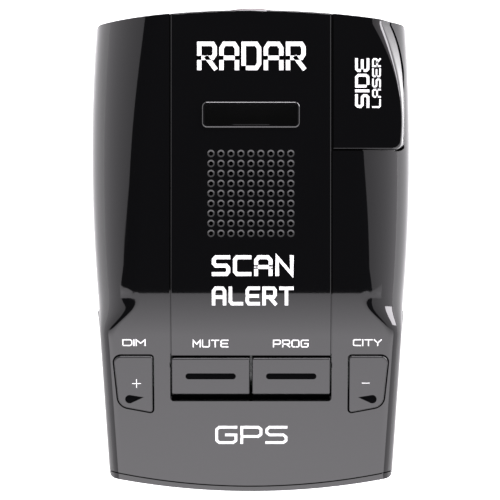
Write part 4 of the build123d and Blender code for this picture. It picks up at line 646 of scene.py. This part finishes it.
def thread_tree():
    """Two layers of straight threads that cross at right angles."""
    group, given, out = new_group(
        "dust_mesh_threads",
        [("Count", "NodeSocketInt"), ("Pitch", "NodeSocketFloat"), ("Thread", "NodeSocketFloat"),
         ("Length", "NodeSocketFloat"), ("Centre", "NodeSocketVector"), ("Material", "NodeSocketMaterial")],
    )
    given = given.outputs
    times = {"operation": "MULTIPLY"}
    start = add(group, "ShaderNodeMath", times, {1: -0.5}, i0=given["Length"])
    radius = add(group, "ShaderNodeMath", times, {1: 0.5}, i0=given["Thread"])
    step = add(group, "ShaderNodeCombineXYZ", None, None, X=given["Pitch"])
    first = add(group, "ShaderNodeCombineXYZ", None, None, X=start.outputs[0])
    line = add(
        group, "GeometryNodeMeshLine", {"mode": "OFFSET"}, None,
        Count=given["Count"], Start_Location=first.outputs[0], Offset=step.outputs[0],
    )
    thread = add(
        group, "GeometryNodeMeshCylinder", None, {"Vertices": THREAD_SIDES},
        Radius=radius.outputs[0], Depth=given["Length"],
    )
    lay = add(group, "GeometryNodeTransform", None, {"Rotation": (QUARTER, 0, 0)}, Geometry=thread.outputs["Mesh"])
    row = add(group, "GeometryNodeInstanceOnPoints", None, None, Points=line.outputs["Mesh"], Instance=lay.outputs[0])
    below = add(group, "ShaderNodeMath", times, {1: -LAYER_DROP}, i0=given["Thread"])
    under = add(group, "ShaderNodeCombineXYZ", None, None, Z=below.outputs[0])
    cross = add(
        group, "GeometryNodeTransform", None, {"Rotation": (0, 0, QUARTER)},
        Geometry=row.outputs[0], Translation=under.outputs[0],
    )
    both = add(group, "GeometryNodeJoinGeometry")
    for layer in (row, cross):
        group.links.new(layer.outputs[0], both.inputs[0])
    finish_tree(group, both, given, out)
    return group


def dot_tree():
    """A field of small raised squares."""
    group, given, out = new_group(
        "display_dot_field",
        [("Columns", "NodeSocketInt"), ("Rows", "NodeSocketInt"), ("Width", "NodeSocketFloat"),
         ("Height", "NodeSocketFloat"), ("Dot", "NodeSocketFloat"), ("Centre", "NodeSocketVector"),
         ("Material", "NodeSocketMaterial")],
    )
    given = given.outputs
    grid = add(
        group, "GeometryNodeMeshGrid", None, None, Size_X=given["Width"], Size_Y=given["Height"],
        Vertices_X=given["Columns"], Vertices_Y=given["Rows"],
    )
    size = add(group, "ShaderNodeCombineXYZ", None, {"Z": DOT_THICKNESS}, X=given["Dot"], Y=given["Dot"])
    dot = add(group, "GeometryNodeMeshCube", None, None, Size=size.outputs[0])
    field = add(
        group, "GeometryNodeInstanceOnPoints", None, None, Points=grid.outputs["Mesh"], Instance=dot.outputs["Mesh"]
    )
    finish_tree(group, field, given, out, (QUARTER, 0, 0))
    return group


# ---------------------------------------------------------------- operators
class FinishCarriedNodes(bpy.types.Operator):
    """Give every CAD node the finish of its slot"""

    bl_idname = "detector.finish_nodes"
    bl_label = "Finish CAD pieces"

    def execute(self, context):
        slots = {part["node"]: part["material_slot"] for part in frame["record"]["subparts"]}
        for name, obj in frame["nodes"].items():
            for holder in obj.material_slots:
                holder.material = finish(slots[name])
        return {"FINISHED"}


class MakeCovers(bpy.types.Operator):
    """Make the gloss covers: case halves, panel, pod, bezel, window and lens"""

    bl_idname = "detector.covers"
    bl_label = "Covers"

    def execute(self, context):
        cover("upper_case", "gloss_black", exact=True)
        cover("centre_panel", "gloss_black", exact=True)
        for node, slot_name in (
            ("lower_case", "base_black"), ("laser_pod", "gloss_black"), ("rear_bezel", "gloss_black"),
            ("front_window", "smoked_window"), ("front_lens", "clear_lens"), ("display_window", "display_tint"),
            ("bracket_socket", "socket_black"), ("case_screws", "screw_steel"),
        ):
            cover(node, slot_name)
        return {"FINISHED"}


class MakeKeys(bpy.types.Operator):
    """Make the four key caps and the power slider"""

    bl_idname = "detector.keys"
    bl_label = "Keys"

    def execute(self, context):
        for key in ("mute", "prog", "plus", "minus"):
            cover(key + "_button", "key_black", key + "_key")
        cover("power_slider", "switch_black", "power_knob")
        return {"FINISHED"}


class PrintLegends(bpy.types.Operator):
    """Print the white legends on the case and keys"""

    bl_idname = "detector.legends"
    bl_label = "Legends"

    def execute(self, context):
        pod_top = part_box("laser_pod")[1].z / MM
        printed("legend_radar", "RADAR", 0.1, 42.3, 23.6, 6.2, 0.95, gap=0.55)
        printed("legend_scan", "SCAN", 0.4, -3.3, 17.8, 4.5, 0.85, gap=0.7)
        printed("legend_alert", "ALERT", 0.4, -9.9, 17.8, 4.1, 0.75, gap=0.7)
        printed("legend_side", "SIDE", 24.2, 36.4, 10.8, 3.1, 0.6, turn=90, gap=0.7, level=pod_top)
        printed("legend_laser", "LASER", 27.3, 36.4, 10.8, 1.9, 0.36, turn=90, gap=0.8, level=pod_top)
        printed("legend_dim", "DIM", -25.5, -20.1, 5.1, 1.5, 0.24)
        printed("legend_city", "CITY", 25.4, -20.1, 6.3, 1.5, 0.24)
        printed("legend_mute", "MUTE", -8.8, -20.3, 7.8, 1.7, 0.26)
        printed("legend_prog", "PROG", 8.7, -20.3, 7.8, 1.7, 0.26)
        printed("legend_gps", "GPS", 0.1, -40.5, 15.8, 4.0, 0.58, gap=1.2)
        proud = KEY_PROUD / math.cos(SLOPE)
        printed("legend_plus", "+", -25.0, -29.1, 1.9, 1.9, 0.16, lift=proud, body="plus_key")
        printed("legend_minus", "-", 25.1, -29.0, 1.7, 1.7, 0.16, lift=proud, body="minus_key")
        return {"FINISHED"}


class WeaveDustMesh(bpy.types.Operator):
    """Weave the dust mesh that lies under the speaker grille"""

    bl_idname = "detector.dust_mesh"
    bl_label = "Dust mesh"

    def execute(self, context):
        s = context.scene.detector_mesh
        low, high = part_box("speaker_mesh")
        length = high.x - low.x - s.thread
        values = {
            "Count": int(length / s.pitch) + 1, "Pitch": s.pitch, "Thread": s.thread, "Length": length,
            "Centre": ((low.x + high.x) / 2, (low.y + high.y) / 2, high.z - s.thread / 2),
            "Material": finish("mesh_black"),
        }
        obj = grow("dust_mesh_threads", thread_tree(), values, "mesh_black")
        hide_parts("speaker_mesh")
        return {"FINISHED"}


class MakeDisplayDots(bpy.types.Operator):
    """Lay the field of unlit dots on the display glass"""

    bl_idname = "detector.display_dots"
    bl_label = "Display dots"

    def execute(self, context):
        s = context.scene.detector_display
        low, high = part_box("display_glass")
        values = {
            "Columns": s.columns, "Rows": s.rows, "Dot": s.dot,
            "Width": (high.x - low.x) * DOTS_ACROSS, "Height": (high.z - low.z) * DOTS_UP,
            "Centre": (0.0, low.y - DOT_LIFT, (low.z + high.z) / 2), "Material": finish("dot"),
        }
        grow("display_dots", dot_tree(), values, "dot")
        return {"FINISHED"}


def glow(name, start, cap, gain, axis):
    """Softbox cloth that glows evenly. Its light starts at start and falls by gain for each unit of the direction's
    height, or of Y in metres, and never passes cap."""
    mat = bpy.data.materials.new(name)
    mat.use_nodes = True
    tree = mat.node_tree
    tree.nodes.clear()
    place = add(tree, "ShaderNodeTexCoord").outputs["Object"]
    if axis == "Z":
        place = add(tree, "ShaderNodeVectorMath", {"operation": "NORMALIZE"}, None, i0=place).outputs["Vector"]
    part = add(tree, "ShaderNodeSeparateXYZ", None, None, Vector=place).outputs[axis]
    rise = add(tree, "ShaderNodeMath", {"operation": "MULTIPLY_ADD"}, {1: -gain, 2: start}, i0=part)
    kept = add(tree, "ShaderNodeMath", {"operation": "MINIMUM"}, {1: cap}, i0=rise.outputs[0])
    light = add(tree, "ShaderNodeEmission", None, {"Color": CLOTH_TINT}, Strength=kept.outputs[0])
    add(tree, "ShaderNodeOutputMaterial", None, None, Surface=light.outputs[0])
    return mat


def roof_panels(line, r, h, side):
    """Roof faces between the tent's wall on one side, -1 for the left and 1 for the right, and the opening's edge."""
    faces = []
    for (ax, ay), (bx, by) in zip(line, line[1:]):
        face = ((ax, ay, h), (side * r, ay, h), (side * r, by, h), (bx, by, h))
        faces.append(face if side < 0 else (face[1], face[0], face[3], face[2]))
    return faces


def wall_faces(r, h):
    """The tent's round wall as upright faces, those of the strip lights apart from the rest."""
    faces = {"side": [], "strip": []}
    for i in range(TENT_SIDES):
        ends = [2 * math.pi * k / TENT_SIDES for k in (i, i + 1)]
        bearing = math.degrees(sum(ends) / 2)
        (ax, ay), (bx, by) = ((r * math.cos(t), r * math.sin(t)) for t in ends)
        lit = any(first < bearing < last for first, last in STRIP_BEARINGS)
        levels = (
            (("strip", STRIP_LOW, STRIP_HIGH), ("side", 0.0, STRIP_LOW), ("side", STRIP_HIGH, h))
            if lit else (("side", 0.0, h),)
        )
        for kind, low, high in levels:
            faces[kind].append([(ax, ay, low), (bx, by, low), (bx, by, high), (ax, ay, high)])
    return faces


def stage_mesh(name, faces, mat):
    """A stage piece from faces given as runs of points in metres."""
    work = bmesh.new()
    for face in faces:
        work.faces.new([work.verts.new(point) for point in face])
    mesh = bpy.data.meshes.new(name)
    work.to_mesh(mesh)
    work.free()
    mesh.materials.append(mat)
    obj = bpy.data.objects.new(name, mesh)
    bpy.context.scene.collection.objects.link(obj)
    return obj


class SetStage(bpy.types.Operator):
    """Set the pale floor, the light tent with its dark opening overhead, and the camera"""

    bl_idname = "detector.stage"
    bl_label = "Stage"

    def execute(self, context):
        s = context.scene.detector_studio
        scene = context.scene
        scene.view_settings.view_transform = "Standard"
        r, h, edge = s.tent_radius, s.tent_height, -s.rear_edge
        floor = [(x, y, FLOOR_LEVEL) for x, y in ((-r, -r), (r, -r), (r, r), (-r, r))]
        stage_mesh("pale_floor", [floor], finish("floor"))

        side = glow("side_softbox_cloth", s.wall_light, SIDE_CAP, s.roof_dimming, "Z")
        rear = glow("rear_softbox_cloth", s.rear_light, REAR_CAP, s.rear_gain, "Y")
        strip = glow("strip_light_cloth", s.strip_light, STRIP_CAP, 0.0, "Z")
        roof = roof_panels([*LEFT_EDGE, (LEFT_END, edge)], r, h, -1)
        roof += roof_panels([*RIGHT_EDGE, (RIGHT_END, edge)], r, h, 1)
        roof.append(((-r, OPENING_FRONT, h), (r, OPENING_FRONT, h), (r, r, h), (-r, r, h)))
        stage_mesh("side_softboxes", roof, side)
        stage_mesh("rear_softbox", [((-r, -r, h), (r, -r, h), (r, edge, h), (-r, edge, h))], rear)
        walls = wall_faces(r, h)
        stage_mesh("tent_wall", walls["side"], side)
        stage_mesh("strip_lights", walls["strip"], strip)

        world = bpy.data.worlds.new("dim_room")
        world.use_nodes = True
        background = world.node_tree.nodes["Background"]
        background.inputs["Color"].default_value = (1, 1, 1, 1)
        background.inputs["Strength"].default_value = ROOM_LIGHT
        scene.world = world

        data = bpy.data.cameras.new("camera")
        data.sensor_width = SENSOR_WIDTH
        data.lens = s.lens
        data.clip_start, data.clip_end = CAMERA_NEAR, CAMERA_FAR
        camera = bpy.data.objects.new("camera", data)
        camera.location = (*CAMERA_PLACE, s.camera_height)
        scene.collection.objects.link(camera)
        scene.camera = camera
        return {"FINISHED"}


class DetectorPanel(bpy.types.Panel):
    bl_idname = "VIEW3D_PT_detector"
    bl_label = "Radar Detector"
    bl_space_type = "VIEW_3D"
    bl_region_type = "UI"
    bl_category = "Detector"

    def draw(self, context):
        for operator in OPERATORS:
            self.layout.operator(operator.bl_idname)
        for name, group in SETTINGS:
            box = self.layout.box()
            for key in group.__annotations__:
                box.prop(getattr(context.scene, name), key)


OPERATORS = (FinishCarriedNodes, MakeCovers, MakeKeys, PrintLegends, WeaveDustMesh, MakeDisplayDots, SetStage)
SETTINGS = (
    ("detector_finish", FinishSettings), ("detector_legend", LegendSettings), ("detector_mesh", MeshSettings),
    ("detector_display", DisplaySettings), ("detector_studio", StudioSettings),
)


def register():
    for name, group in SETTINGS:
        bpy.utils.register_class(group)
        setattr(bpy.types.Scene, name, PointerProperty(type=group))
    for operator in OPERATORS:
        bpy.utils.register_class(operator)
    bpy.utils.register_class(DetectorPanel)


def unregister():
    bpy.utils.unregister_class(DetectorPanel)
    for operator in reversed(OPERATORS):
        bpy.utils.unregister_class(operator)
    for name, group in reversed(SETTINGS):
        delattr(bpy.types.Scene, name)
        bpy.utils.unregister_class(group)


def main():
    register()
    steps = bpy.ops.detector
    steps.finish_nodes()
    steps.covers()
    steps.keys()
    steps.legends()
    steps.dust_mesh()
    steps.display_dots()
    steps.stage()


if __name__ == "__main__":
    main()
